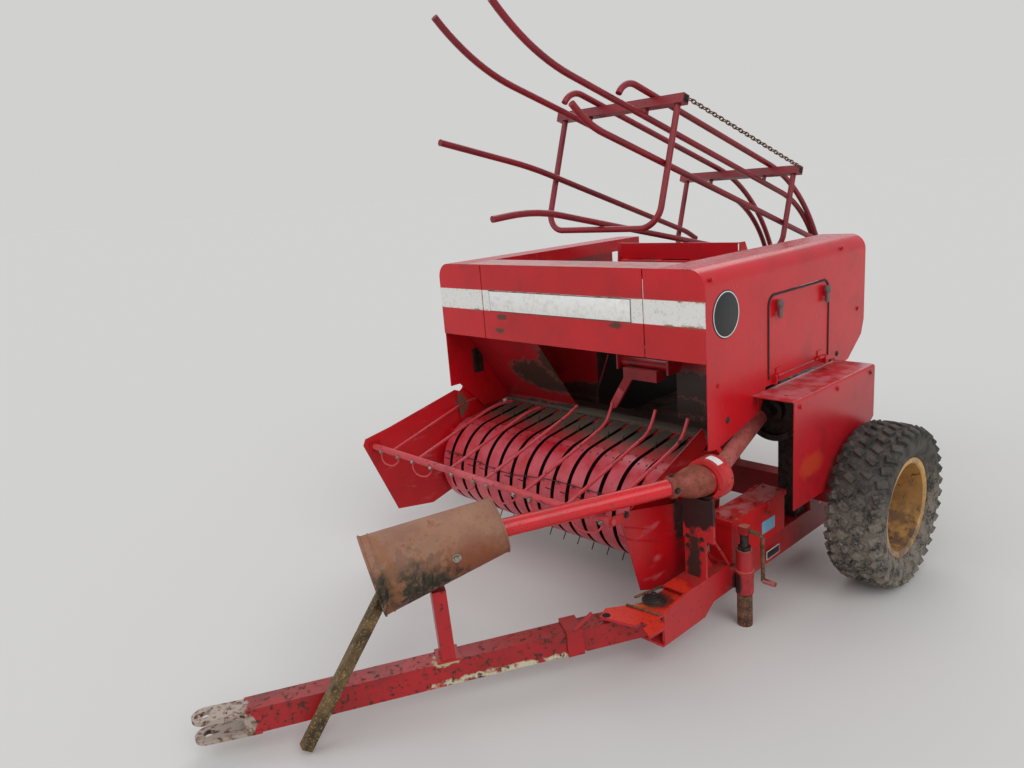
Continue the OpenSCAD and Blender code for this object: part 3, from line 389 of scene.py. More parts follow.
def spot(tree, centre, radii, low=1.15, high=0.75, ragged=0.5):
    """A mask of a ragged patch round one place on the machine."""
    scale = [1 / r for r in radii]
    where = add(tree, "TexCoord").outputs["Object"]
    near = add(tree, "Mapping", {"Vector": where, "Scale": scale,
                                 "Location": [-c * k for c, k in zip(centre, scale)]}).outputs[0]
    far = add(tree, "VectorMath", {0: near}, operation="LENGTH").outputs["Value"]
    cloud = add(tree, "TexNoise", {"Vector": where, "Scale": 40.0, "Detail": 6.0}).outputs[0]
    torn = add(tree, "Math", {0: cloud, 1: ragged * 2, 2: -ragged}, operation="MULTIPLY_ADD").outputs[0]
    reach = add(tree, "Math", {0: far, 1: torn}, operation="ADD").outputs[0]
    return add(tree, "MapRange", {"Value": reach, "From Min": low, "From Max": high}).outputs[0]


def coats(tree, base, *layers):
    """Lays coats over a base colour, each one a mask and a colour."""
    below = base
    for mask, coat in layers:
        below = add(tree, "Mix", {0: mask, 6: below, 7: coat}, data_type="RGBA").outputs[2]
    return below


def shader(tree, base, rough, height=None, depth=0.0006, **fixed):
    """Joins colour, roughness and bump in one principled shader."""
    links = {"Base Color": base, "Roughness": rough}
    if height is not None:
        bump = add(tree, "Bump", {"Height": height, "Distance": depth, "Strength": 1.0})
        links["Normal"] = bump.outputs[0]
    links.update({key.replace("_", " "): value for key, value in fixed.items()})
    made = add(tree, "BsdfPrincipled", links)
    add(tree, "OutputMaterial", {"Surface": made.outputs[0]})
    return made


# %% Red enamel, from the glossy hood to the dull frame
RUST = colour("5A2E1C")
DARK_RUST = colour("33211A")
GRIME = colour("2E1713")


def enamel(name, fresh, faded, chips=0.62, grime=0.5, gloss=0.3, bare=RUST, extra=None):
    """Alkyd enamel on sheet steel: clouds of fading, chips at the edges, runs of dirt."""
    made, tree = material(name)
    fade = patches(tree, 0.35, 0.4, 0.68)
    runs = maths(tree, "MULTIPLY", patches(tree, 0.03, 0.55, 0.85, stretch=(1, 1, 0.2)), grime * 0.5)
    blots = maths(tree, "MULTIPLY", patches(tree, 0.16, 0.55, 0.72), grime)
    worn = patches(tree, 0.022, chips - 0.06, chips + 0.02, detail=8, rough=0.65)
    edge = maths(tree, "MULTIPLY", edges(tree, 0.004), patches(tree, 0.045, 0.42, 0.6))
    chip = maths(tree, "MAXIMUM", worn, edge)
    dust = maths(tree, "MULTIPLY", maths(tree, "MULTIPLY", upward(tree), patches(tree, 0.08, 0.35, 0.7)), 0.35)
    fine = patches(tree, 0.0035, 0.3, 0.7, detail=3)
    rust = coats(tree, bare, (fine, DARK_RUST))
    layers = [(fade, faded), (blots, GRIME), (runs, GRIME), (dust, colour("7A5A4A"))]
    layers += extra(tree) if extra else []
    base = coats(tree, fresh, *layers, (chip, rust))
    rough = add(tree, "MapRange", {"Value": maths(tree, "ADD", chip, maths(tree, "MULTIPLY", runs, 0.7)),
                                   "To Min": gloss, "To Max": 0.8}).outputs[0]
    height = maths(tree, "SUBTRACT", maths(tree, "MULTIPLY", fine, 0.12), maths(tree, "MULTIPLY", chip, 0.1))
    shader(tree, base, rough, maths(tree, "ADD", height, 0.5), 0.0012)
    return made


def stripe(tree):
    """The pale stripe across the front bays, chipped and rusty along its edges."""
    torn = patches(tree, 0.02, 0.35, 0.5, detail=8)
    line = maths(tree, "MULTIPLY", band(tree, 2, 1.079, 1.170, 0.0015), band(tree, 1, 1.585, 1.5915, 0.0005))
    edge = maths(tree, "SUBTRACT", band(tree, 2, 1.074, 1.175, 0.004), band(tree, 2, 1.084, 1.165, 0.004))
    rusty = maths(tree, "MULTIPLY", edge, patches(tree, 0.05, 0.5, 0.62))
    paint = coats(tree, colour("E4E2DC"), (patches(tree, 0.012, 0.55, 0.8), colour("B9B2A6")))
    return [(maths(tree, "MULTIPLY", line, maths(tree, "ADD", torn, 0.85)), paint), (rusty, colour("8A5138"))]


def roof_dust_and_sheen(tree):
    """Dust, and a painted pink sheen of the sky, make the level strips of the roof a dull pink."""
    # Painted sheen: upward faces are laid pale pink, as the sky's reflection would make them look.
    return [(maths(tree, "MULTIPLY", upward(tree), 0.75), colour("C98C84")),
            (maths(tree, "MULTIPLY", upward(tree), patches(tree, 0.05, 0.5, 0.7)), colour("A8645C"))]


def roof_scuffs(tree):
    """Scuffs on top of the toolbox, from boots and tools."""
    return [(maths(tree, "MULTIPLY", upward(tree), patches(tree, 0.05, 0.42, 0.58)), colour("C4706C"))]


def front_marks(tree):
    """The stripe, small worn marks in the paint beneath it, and dust with a painted sheen on upward faces."""
    marks = [(spot(tree, place, (0.03, 0.02, 0.012), ragged=0.9), RUST)
             for place in ((-0.186, 1.59, 1.055), (0.45, 1.59, 1.064), (-0.213, 1.59, 0.995))]
    return marks + stripe(tree) + roof_dust_and_sheen(tree)


def shield_marks(tree):
    """Scuffs and leaf dirt on the shield's top, and an orange patch low on its outer face."""
    return [(maths(tree, "MULTIPLY", upward(tree), patches(tree, 0.09, 0.45, 0.6)), colour("C06A6E")),
            (maths(tree, "MULTIPLY", upward(tree), patches(tree, 0.03, 0.6, 0.66, stretch=(0.4, 1, 1))), GRIME),
            (spot(tree, (1.022, 2.02, 0.49), (0.03, 0.09, 0.045), ragged=0.5), colour("BF3A22"))]


def recess_wear(tree):
    """Where straw rubbed the feeder's walls bare: brown leaves with a pale rim, and a brown floor."""
    marks = []
    for centre, radii in (((-0.20, 1.84, 0.72), (0.23, 0.14, 0.10)), ((-0.02, 1.80, 0.80), (0.16, 0.16, 0.16)),
                          ((0.42, 2.10, 0.68), (0.22, 0.05, 0.09)), ((0.10, 2.10, 0.60), (0.5, 0.06, 0.06)),
                          ((0.62, 2.03, 0.62), (0.12, 0.2, 0.08)), ((0.0, 2.04, 0.55), (0.72, 0.12, 0.03))):
        marks += [(spot(tree, centre, radii, 1.1, 1.0), colour("74423A")), (spot(tree, centre, radii, 1.02, 0.9), colour("3B2A22"))]
    return marks


def band_wear_and_painted_light(tree):
    """Painted shade on the inner faces, a painted pink sheen on the round fronts and dried mud on the rear ends of the
    bands.
    """
    where = add(tree, "TexCoord").outputs["Object"]
    p = add(tree, "Mapping", {"Vector": where, "Location": (0, -1.725, -0.291), "Scale": (0, 1, 1)}).outputs[0]
    c, k = math.cos(math.radians(8)), math.sin(math.radians(8))
    r = add(tree, "VectorMath", {0: p}, operation="LENGTH").outputs["Value"]
    along_top = add(tree, "VectorMath", {0: p, 1: (0, c, k)}, operation="DOT_PRODUCT").outputs["Value"]
    height = add(tree, "VectorMath", {0: p, 1: (0, -k, c)}, operation="DOT_PRODUCT").outputs["Value"]
    behind = add(tree, "MapRange", {"Value": along_top, "From Min": -0.001, "From Max": 0.001}).outputs[0]
    outer = add(tree, "Mix", {0: behind, 2: r, 3: height}).outputs[0]
    # Painted shade: the inner faces of the bands are laid near black.
    inside = add(tree, "MapRange", {"Value": outer, "From Min": 0.2154, "From Max": 0.2142}).outputs[0]
    rear = add(tree, "MapRange", {"Value": along_top, "From Min": 0.0, "From Max": 0.13}).outputs[0]
    mud = maths(tree, "MULTIPLY", rear, maths(tree, "ADD", patches(tree, 0.06, 0.36, 0.58, detail=8), maths(tree, "POWER", rear, 3.0)))
    front = maths(tree, "SUBTRACT", 1.0, behind)
    # Painted sheen: pale pink patches on the round fronts of the bands.
    shine = maths(tree, "MULTIPLY", maths(tree, "MULTIPLY", front, patches(tree, 0.08, 0.35, 0.6)), 0.7)
    rust = maths(tree, "MULTIPLY", maths(tree, "MULTIPLY", front, patches(tree, 0.012, 0.6, 0.68, stretch=(1, 0.3, 0.3))), 0.5)
    return [(shine, colour("C8505E")), (rust, colour("9C3A32")), (mud, colour("4E463B")),
            (maths(tree, "MULTIPLY", mud, patches(tree, 0.006, 0.5, 0.62)), colour("6D6457")), (inside, colour("160C0B"))]


def chamber_dark(tree):
    """The inner faces of the chamber are painted near black as shade, with brown patches on upward faces."""
    inside = maths(tree, "MULTIPLY", band(tree, 0, 0.124 - 0.2325, 0.124 + 0.2325, 0.0005), band(tree, 2, 0.4575, 0.8225, 0.0005))
    # Painted shade: the chamber's inner faces are laid near black.
    return [(inside, colour("2A1F1A")), (maths(tree, "MULTIPLY", upward(tree), patches(tree, 0.06, 0.4, 0.6)), colour("6E4A3C"))]


def tongue_wear(tree):
    """Bare clevis plates, cream primer along the foot of the tongue, rust along its upper edges."""
    return [(spot(tree, (0, 0, 0), (0.17, 0.15, 0.09), 1.02, 0.98, 0.1), colour("A8978A")),
            (maths(tree, "MULTIPLY", spot(tree, (0, 0, 0), (0.17, 0.15, 0.09), 1.02, 0.98, 0.1),
                   patches(tree, 0.02, 0.5, 0.62)), colour("7A5B48")),
            (maths(tree, "MULTIPLY", spot(tree, (0.56, 0.86, -0.008), (0.20, 0.30, 0.022), 1.2, 0.95, 0.7),
                   patches(tree, 0.04, 0.38, 0.5)), colour("C9C0A2")),
            (spot(tree, (0.42, 0.66, 0.082), (0.055, 0.05, 0.02), 1.1, 0.9, 0.6), colour("BDAE88"))]


def oil_specks(tree):
    """Orange-red top of the sector plate, freckled with oil."""
    near = spot(tree, (0.76, 1.30, 0.123), (0.2, 0.26, 0.03), 1.05, 1.0, 0.1)
    return [(maths(tree, "MULTIPLY", near, upward(tree)), colour("D2321F")),
            (maths(tree, "MULTIPLY", upward(tree), patches(tree, 0.006, 0.62, 0.66, detail=3)), colour("1E1512")),
            (spot(tree, (0.735, 1.315, 0.123), (0.07, 0.03, 0.02), 1.1, 0.8, 0.8), colour("C26A22")),
            (maths(tree, "MULTIPLY", spot(tree, (0.77, 1.36, 0.125), (0.06, 0.06, 0.03), 1.3, 0.9, 0.4), 0.8), colour("2B2420"))]


def sheet_wear(tree):
    """Oily dirt at the rear of the right-hand sheet, pale scuffs, mud on the left-hand one."""
    return [(maths(tree, "MULTIPLY", patches(tree, 0.05, 0.6, 0.7, stretch=(1, 0.3, 1.2)), 0.5), colour("C4666A")),
            (spot(tree, (0.70, 1.615, 0.36), (0.03, 0.035, 0.13), 1.3, 0.8, 0.6), colour("2A2320")),
            (spot(tree, (-0.58, 1.66, 0.58), (0.06, 0.05, 0.07), 1.1, 0.9, 0.5), colour("6A4A3A"))]


def jack_oil_and_sheen(tree):
    """A dark run of oil down the front of the jack's sleeve, and a painted pink sheen on its upward faces."""
    return [(spot(tree, (0.885, 1.705, 0.078), (0.026, 0.03, 0.045), 1.2, 0.8, 0.4), colour("231C18")),
            # Painted sheen: every upward face of the sleeve is lightened to pale pink.
            (maths(tree, "MULTIPLY", upward(tree), 0.8), colour("C87A66"))]


def tube_specks(tree):
    """Small black specks where grease was flung."""
    return [(patches(tree, 0.008, 0.64, 0.69, detail=3), colour("3A1614"))]


def stand_dark_patches(tree):
    """The bearing stand is nearly black below the bearing, with a darker run lower down."""
    return [(spot(tree, (0.81, 1.57, 0.415), (0.10, 0.05, 0.075), 1.15, 0.95, 0.5), colour("2B1A18")),
            (spot(tree, (0.80, 1.57, 0.20), (0.03, 0.06, 0.12), 1.2, 0.8, 0.7), colour("3A2A24")),
            (spot(tree, (0.84, 1.62, 0.526), (0.09, 0.05, 0.09), 1.0, 0.9, 0.3), colour("C83A34"))]


hood_red = enamel("hood_enamel", colour("CC141F"), colour("B81019"), 0.74, 0.22, 0.26)
roof_red = enamel("dusty_roof_enamel_with_painted_sheen", colour("CC141F"), colour("B81019"), 0.70, 0.35, 0.30, extra=roof_dust_and_sheen)
front_red = enamel("front_enamel", colour("C60C1A"), colour("B40A14"), 0.74, 0.22, 0.28, extra=front_marks)
shield_red = enamel("shield_enamel", colour("C01A26"), colour("AE1620"), 0.72, 0.3, 0.28, extra=shield_marks)
frame_red = enamel("frame_enamel", colour("BC1820"), colour("9A161B"), 0.66, 0.5, 0.36)
recess_red = enamel("recess_enamel", colour("A3101A"), colour("8C0E16"), 0.70, 0.45, 0.4, extra=recess_wear)
sheet_red = enamel("gather_sheet_enamel", colour("BE0A16"), colour("A40812"), 0.72, 0.3, 0.32, extra=sheet_wear)
jack_red = enamel("jack_enamel", colour("B8242A"), colour("9A2226"), 0.64, 0.6, 0.4, extra=jack_oil_and_sheen)
guard_tube_red = enamel("guard_tube_enamel", colour("DC1C26"), colour("C82028"), 0.70, 0.15, 0.24, extra=tube_specks)
toolbox_red = enamel("toolbox_enamel", colour("D41A1E"), colour("C0161A"), 0.68, 0.25, 0.30, extra=roof_scuffs)
stand_red = enamel("stand_enamel", colour("C8282A"), colour("B02226"), 0.64, 0.5, 0.36, extra=stand_dark_patches)
band_red = enamel("band_enamel", colour("B81C28"), colour("A81822"), 0.70, 0.4, 0.3, extra=band_wear_and_painted_light)
guard_red = enamel("windguard_enamel", colour("BE3038"), colour("C4505A"), 0.63, 0.5, 0.42)
tongue_red = enamel("tongue_enamel", colour("B01A20"), colour("8E171B"), 0.60, 0.6, 0.4, extra=tongue_wear)
beam_red = enamel("beam_enamel", colour("BE1C22"), colour("A4181C"), 0.68, 0.4, 0.36, extra=oil_specks)
chamber_red = enamel("chamber_enamel", colour("9E1820"), colour("7E141A"), 0.64, 0.6, 0.45, extra=chamber_dark)
chute_red = enamel("chute_enamel", colour("8E1722"), colour("741520"), 0.68, 0.35, 0.38)
print("enamels:", [m.name for m in bpy.data.materials if "enamel" in m.name])

# %% [markdown]
# ## Other finishes
#
# The drive line's bell lost its gloss long ago: it is pink where the enamel chalked, orange
# where rust came through, and green and black where algae grow. Cast and rolled parts without
# paint are brown rust or black oil, the rims are yellow ochre, and the tyres carry dry mud.


# %% Bell, rust, oil, rubber and ochre
def weathered_bell():
    made, tree = material("chalked_enamel_with_algae")
    chalk = patches(tree, 0.10, 0.35, 0.65)
    orange = maths(tree, "MULTIPLY", maths(tree, "MAXIMUM", spot(tree, (0.50, 0.78, 0.44), (0.10, 0.16, 0.08), 1.4, 0.6),
                                           patches(tree, 0.05, 0.58, 0.7, detail=8)), 0.85)
    wet = maths(tree, "MULTIPLY", spot(tree, (0.40, 0.56, 0.40), (0.14, 0.17, 0.10), 1.35, 0.7, 0.8),
                patches(tree, 0.05, 0.36, 0.5, detail=9, rough=0.7))
    drips = maths(tree, "MULTIPLY", spot(tree, (0.42, 0.58, 0.36), (0.16, 0.20, 0.10), 1.3, 0.8, 0.6),
                  patches(tree, 0.014, 0.5, 0.58, stretch=(1, 1, 0.15), detail=6))
    lip = spot(tree, (0.297, 0.492, 0.422), (0.16, 0.035, 0.16), 1.1, 0.9, 0.5)
    specks = patches(tree, 0.008, 0.6, 0.68)
    base = coats(tree, colour("875A45"), (chalk, colour("9C7259")), (orange, colour("82401F")),
                 (wet, colour("302C1A")), (drips, colour("17150E")), (maths(tree, "MULTIPLY", lip, 0.7), colour("8E5A38")),
                 (maths(tree, "MULTIPLY", specks, 0.6), colour("6B4536")))
    rough = add(tree, "MapRange", {"Value": chalk, "To Min": 0.55, "To Max": 0.85}).outputs[0]
    shader(tree, base, rough, patches(tree, 0.008, 0.3, 0.7, detail=8), 0.0008)
    return made


def bare_steel(name, light, dark, spots, rough_low, rough_high, metallic, size=0.03):
    """Steel without paint: a base, darker clouds and small spots."""
    made, tree = material(name)
    cloud = patches(tree, size, 0.38, 0.62, detail=8)
    dots = patches(tree, size / 6, 0.55, 0.66, detail=6)
    base = coats(tree, light, (cloud, dark), (dots, spots))
    rough = add(tree, "MapRange", {"Value": cloud, "To Min": rough_low, "To Max": rough_high}).outputs[0]
    shader(tree, base, rough, patches(tree, size / 8, 0.3, 0.7, detail=6), 0.0006, Metallic=metallic)
    return made


bell_pink = weathered_bell()
rust_brown = bare_steel("rusty_rolled_steel", colour("7A5238"), colour("4B3226"), colour("A9795A"), 0.7, 0.9, 0.2)
bar_brown = bare_steel("greasy_square_bar", colour("7C6242"), colour("463A2A"), colour("A88A4E"), 0.5, 0.8, 0.4, 0.05)
tube_pink = bare_steel("rubbed_pink_enamel", colour("B4605A"), colour("A04A3E"), colour("6E3A2E"), 0.5, 0.75, 0.0, 0.05)
bulb_rust = bare_steel("rusty_pressed_steel", colour("9A4A3A"), colour("7A3A28"), colour("4A2E24"), 0.55, 0.8, 0.1, 0.04)
oily_black = bare_steel("oily_cast_iron", colour("3A322C"), colour("1C1815"), colour("5A4034"), 0.45, 0.75, 0.4)
zinc = bare_steel("dull_zinc_plate", colour("A9A59B"), colour("7D776C"), colour("6B4A34"), 0.4, 0.65, 0.8, 0.012)
galvanised_pin = bare_steel("worn_bright_steel", colour("B5AEA4"), colour("8B7F72"), colour("5B3B2A"), 0.35, 0.6, 0.9, 0.02)


def ochre_rim():
    made, tree = material("ochre_rim_enamel")
    fade = patches(tree, 0.09, 0.4, 0.65)
    rust = maths(tree, "MAXIMUM", patches(tree, 0.03, 0.56, 0.66, detail=9, rough=0.7),
                 maths(tree, "MULTIPLY", edges(tree, 0.005), patches(tree, 0.03, 0.35, 0.5)))
    mud = patches(tree, 0.07, 0.55, 0.75, detail=7)
    low_mud = maths(tree, "MULTIPLY", band(tree, 2, -0.2, 0.20, 0.12), patches(tree, 0.04, 0.35, 0.6, detail=8))
    base = coats(tree, colour("CC9C58"), (fade, colour("B98C5A")), (mud, colour("7E6A54")), (low_mud, colour("6E5A48")),
                 (rust, colour("5A361F")))
    shader(tree, base, add(tree, "MapRange", {"Value": rust, "To Min": 0.45, "To Max": 0.85}).outputs[0],
           maths(tree, "SUBTRACT", 0.6, maths(tree, "MULTIPLY", rust, 0.4)), 0.0012)
    return made


def muddy_rubber():
    made, tree = material("muddy_tyre_rubber")
    low = band(tree, 2, -0.3, 0.26, 0.14)
    mud = maths(tree, "MULTIPLY", patches(tree, 0.05, 0.40, 0.56, detail=9, rough=0.65), maths(tree, "ADD", low, 0.25))
    crumbs = maths(tree, "MULTIPLY", patches(tree, 0.008, 0.5, 0.62, detail=6), maths(tree, "ADD", low, 0.15))
    dust = patches(tree, 0.2, 0.35, 0.7)
    worn = edges(tree, 0.004)
    base = coats(tree, colour("23221F"), (dust, colour("35322E")), (maths(tree, "MULTIPLY", mud, 0.9), colour("7F7568")),
                 (maths(tree, "MULTIPLY", crumbs, 0.7), colour("93887A")), (maths(tree, "MULTIPLY", worn, 0.5), colour("5C5A5C")))
    shader(tree, base, 0.8, maths(tree, "ADD", maths(tree, "MULTIPLY", mud, 0.4), maths(tree, "MULTIPLY", crumbs, 0.3)), 0.002)
    return made


def plain(name, base, other, rough, size=0.01, coat=0.0):
    """Vinyl, rubber or plastic: nearly one colour, with a fine mottle."""
    made, tree = material(name)
    tint = coats(tree, base, (patches(tree, size, 0.45, 0.7), other))
    shader(tree, tint, rough, patches(tree, size / 6, 0.3, 0.7), 0.0002, Coat_Weight=coat)
    return made


black_vinyl = plain("black_vinyl_film", colour("1B1C1D"), colour("232425"), 0.38)
white_film = plain("white_film", colour("ECECE8"), colour("DAD7CF"), 0.4, 0.02)
seal_rubber = plain("black_door_seal_rubber", colour("141414"), colour("262422"), 0.62)
# Painted shade: a near-black finish for the discs and plates that stand for holes and hollow ends.
dark_hole = plain("painted_shade_of_holes", colour("0D0A09"), colour("171210"), 0.8)
dried_mud = plain("dried_mud_and_chaff", colour("4E463B"), colour("6A6053"), 0.95, 0.006)
rim_ochre = ochre_rim()
tyre_black = muddy_rubber()
print("materials so far:", len(bpy.data.materials))

# %% Finishes for the solids of the frame
finishes = {
    front_red: ["hood_front"],
    roof_red: ["hood_roof"],
    guard_tube_red: ["front_tube"],
    stand_red: ["drive_stand"],
    jack_red: ["jack_sleeve"],
    hood_red: ["hood_left", "hood_right", "access_door", "knotter_cover", "cover_brackets"],
    shield_red: ["drive_shield"],
    toolbox_red: ["toolbox", "toolbox_lid"],
    frame_red: ["axle", "tongue_lock", "support_post", "pickup_frame"],
    sheet_red: ["gather_left", "gather_right"],
    band_red: ["pickup_bands"],
    guard_red: ["windguard"],
    recess_red: ["feeder_housing", "packer"],
    tongue_red: ["tongue"],
    beam_red: ["main_frame"],
    chamber_red: ["chamber_floor", "chamber_roof", "chamber_left", "chamber_right", "tension_rails", "needle_yoke"],
    chute_red: ["chute_rails", "chute_hoops"],
    bell_pink: ["front_bell"],
    tube_pink: ["rear_tube"],
    bar_brown: ["square_drive_bar"],
    rust_brown: ["jack_leg", "jack_crank"],
    oily_black: ["gearbox", "flywheel", "knotter_frame", "pickup_reel", "chute_chain"],
    rim_ochre: ["rim_left", "rim_right"],
    tyre_black: ["tyre_left", "tyre_right"],
}
for finish, names in finishes.items():
    for name in names:
        mesh = nodes[name].data
        mesh.materials.clear()
        mesh.materials.append(finish)
bare = [n for n in nodes if not any(n in names for names in finishes.values())]
print("solids without a finish:", bare)

# %% [markdown]
# ## Treads and wheels
#
# The tyre of the solid model is a smooth ring. The real one has a round carcass with chunky,
# slanting rubber blocks in four staggered rows. The carcass is spun from its outline, one
# block is cut from a cube, and the block is then copied round the wheel.

# %% Tyres with tread blocks
WHEEL_Y, WHEEL_Z, WHEEL_X = 2.402, 0.235, 1.150


def tyre(side, body, node):
    outline = [(0.203, 0.080), (0.209, 0.090), (0.222, 0.094), (0.228, 0.1005), (0.258, 0.1085), (0.285, 0.107),
               (0.306, 0.099), (0.316, 0.086), (0.320, 0.060), (0.3215, 0.030), (0.322, 0)]
    outline += [(r, -h) for r, h in reversed(outline[:-1])]
    carcass = lathe([*outline, outline[0]], node + "_carcass", steps=96)
    seeds = []
    for row, (h, tilt, twist, size, lift) in enumerate(((-0.087, -32, 24, (0.046, 0.037, 0.026), 0.312),
                                                         (-0.0285, -3, -30, (0.048, 0.035, 0.022), 0.3235),
                                                         (0.0285, 3, -30, (0.048, 0.035, 0.022), 0.3235),
                                                         (0.087, 32, 24, (0.046, 0.037, 0.026), 0.312))):
        lug = start("cube", "lug", size=1, scale=size)
        settle(lug)
        pick(lug, lambda c, n: n.z > 0.9)
        bpy.ops.transform.resize(value=(0.86, 0.80, 1))
        bpy.ops.mesh.bevel(offset=0.002, segments=1, affect="EDGES")
        bpy.ops.object.mode_set(mode="OBJECT")
        stand = Matrix.Translation((h, 0, lift)) @ Matrix.Rotation(math.radians(tilt), 4, "Y") @ Matrix.Rotation(
            math.radians(twist), 4, "Z")
        lug.matrix_world = stand
        settle(lug)
        turns = [Matrix.Rotation(math.radians(10 * k + 5 * (row % 2)), 4, "X") for k in range(36)]
        seeds.append(copies(lug, turns, "lugs"))
    lugs = join(seeds, "lugs")
    carcass.matrix_world = Matrix.Rotation(math.radians(90), 4, "Y")
    settle(carcass)
    whole = join([carcass, lugs], node + "_tread")
    whole.matrix_world = Matrix.Translation((side * WHEEL_X, WHEEL_Y, WHEEL_Z))
    settle(whole)
    dress(whole, tyre_black, body)
    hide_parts(node)
    return whole


left_tyre = tyre(1, "wheel_left", "tyre_left")
right_tyre = tyre(-1, "wheel_right", "tyre_right")
print("tyre triangles:", len(left_tyre.data.polygons) * 2)

# %% Wheel nuts, hub caps and the holes of the dish
for side, body in ((1, "wheel_left"), (-1, "wheel_right")):
    tag = "left" if side > 0 else "right"
    out = (side, 0, 0)
    ring = []
    for k in range(5):
        a = math.radians(72 * k + 12)
        ring.append(((side * 1.0965, WHEEL_Y + 0.082 * math.cos(a), WHEEL_Z + 0.082 * math.sin(a)), out, 0.013))
    bolts(f"wheel_nuts_{tag}", ring, rust_brown, body)
    cap = lathe([(0, 0.016), (0.020, 0.0145), (0.030, 0.009), (0.034, 0), (0.034, -0.004)], f"hub_cap_{tag}",
                (side * 1.126, WHEEL_Y, WHEEL_Z), out, 40)
    dress(cap, rust_brown, body)
    # Each hole of the dish is a thin near-black disc: painted shade.
    hole = lathe([(0, 0.0008), (0.0145, 0.0008), (0.017, 0.0016), (0.0185, 0.0003)], "dish_hole",
                 (side * 1.094, WHEEL_Y, WHEEL_Z + 0.148), out, 20)
    turn = [Matrix.Translation((0, WHEEL_Y, WHEEL_Z)) @ Matrix.Rotation(math.radians(a + 20), 4, "X")
            @ Matrix.Translation((0, -WHEEL_Y, -WHEEL_Z)) for a in range(0, 360, 45)]
    dress(copies(hole, turn, f"dish_holes_{tag}"), dark_hole, body)
print("wheels dressed")

# %% [markdown]
# ## The pickup
#
# Each sheet band is riveted to its carriers, spring tines stand up through the slots, and
# behind the reel a curved pan closes the daylight. The pan starts as one arc of edges and is
# extruded across the machine, which is how a rolled sheet would be drawn by hand.

# %% Pan, apron and filler behind the bands
AXIS_Y, AXIS_Z, BAND = 1.725, 0.291, 0.216
SLOTS = [-0.5541 + 0.0847 * k for k in range(14)]


def sheet(points, low, high, thickness, name):
    """A folded or rolled sheet: its outline in the YZ plane, drawn across from low to high X."""
    piece = line([(low, y, z) for y, z in points], name)
    bpy.ops.object.mode_set(mode="EDIT")
    bpy.ops.mesh.select_all(action="SELECT")
    bpy.ops.mesh.extrude_edges_move(TRANSFORM_OT_translate={"value": (high - low, 0, 0)})
    bpy.ops.mesh.select_all(action="SELECT")
    bpy.ops.mesh.normals_make_consistent(inside=False)
    bpy.ops.object.mode_set(mode="OBJECT")
    modify(piece, "SOLIDIFY", thickness=thickness, offset=0)
    modify(piece, "BEVEL", width=min(0.0007, thickness / 3), segments=2)
    return piece


flange = [(1.9470, 0.541), (1.9470, 0.470)]
arc = [(AXIS_Y + 0.272 * math.cos(math.radians(a)), AXIS_Z + 0.272 * math.sin(math.radians(a)))
       for a in range(38, -62, -10)]
dress(sheet(flange + arc, -0.605, 0.634, 0.002, "rolled_pan"), recess_red, "pickup")
dress(sheet([(1.9545, 0.492), (1.9535, 0.5515), (2.012, 0.5515)], -0.598, 0.634, 0.003, "straw_apron"),
      dried_mud, "chassis")
side_points = [(-0.6155, y, z) for y, z in ((1.65, 0.47), (1.64, 0.64), (1.70, 0.677), (1.80, 0.60), (1.935, 0.56),
                                            (1.935, 0.52), (1.80, 0.49))]
dress(plate(side_points, 0.003, "side_filler"), sheet_red, "pickup")
print("pan arc points:", len(arc))

# %% Rivets of the bands
c8, s8 = math.cos(math.radians(8)), math.sin(math.radians(8))
rivet = start("uv_sphere", "rivet", segments=10, ring_count=6, radius=0.0055)
pick(rivet, lambda p: p.z < 0.001, "VERT")
bpy.ops.mesh.delete(type="VERT")
bpy.ops.object.mode_set(mode="OBJECT")
rivet.scale = (1, 1, 0.5)
settle(rivet)
places = []
for k in range(15):
    middle = -0.5965 + 0.0847 * k
    for a in (8, 20):
        up = Vector((0, -math.sin(math.radians(a)), math.cos(math.radians(a))))
        for dx in (-0.02, 0.02):
            spot_at = Vector((middle + dx, AXIS_Y, AXIS_Z)) + up * (BAND - 0.0002)
            places.append(Matrix.Translation(spot_at) @ along(up))
dress(copies(rivet, places, "band_rivets"), oily_black, "pickup")
print("rivets:", len(places))

# %% The reel: shaft, arms, bars and spring tines
BARS = 4
SPAN = (-0.603, 0.632)
middle_x, width = sum(SPAN) / 2, SPAN[1] - SPAN[0]
shaft = lathe([(0, 0), (0.026, 0), (0.026, width), (0, width)], "shaft", (SPAN[0], 0, 0), (1, 0, 0), 28)
bar = lathe([(0, 0), (0.012, 0), (0.012, width), (0, width)], "bar", (SPAN[0], 0, 0.150), (1, 0, 0), 16)
arms = [block((x, -0.013, 0.010), (x + 0.008, 0.013, 0.146), "arm", 0.0015) for x in (-0.591, 0.015, 0.608)]
tine = wire(rounded([(0, 0, 0.150), (0, -0.003, 0.185), (0, 0, 0.225), (0, 0.010, 0.2605)], 3), 0.0025, "tine", 1)
coil = wire([(0.0022 * k - 0.012, 0.0145 * math.cos(0.9 * k), 0.150 + 0.0145 * math.sin(0.9 * k)) for k in range(15)],
            0.0022, "coil", 1)
tines = copies(join([tine, coil], "tine"), [Matrix.Translation((x + 0.001, 0, 0)) for x in SLOTS], "tines")
rake = join([bar, *arms, tines], "rake")
turns = [Matrix.Translation((0, AXIS_Y, AXIS_Z)) @ Matrix.Rotation(math.radians(k * 360 / BARS - 15), 4, "X")
         for k in range(BARS)]
rakes = copies(rake, turns, "rakes")
shaft.matrix_world = Matrix.Translation((0, AXIS_Y, AXIS_Z))
settle(shaft)
reel = join([shaft, rakes], "tined_reel")
dress(reel, oily_black, "reel")
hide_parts("pickup_reel")
print("tines:", BARS * len(SLOTS))

# %% [markdown]
# ## Windguard fittings
#
# Under the guard's bar hang small wire loops, each held by two bright bolts, and a strand of
# barbed wire has been left lying across the bands. Thin things like these are drawn as a line
# of edges and given their thickness by a curve's bevel.

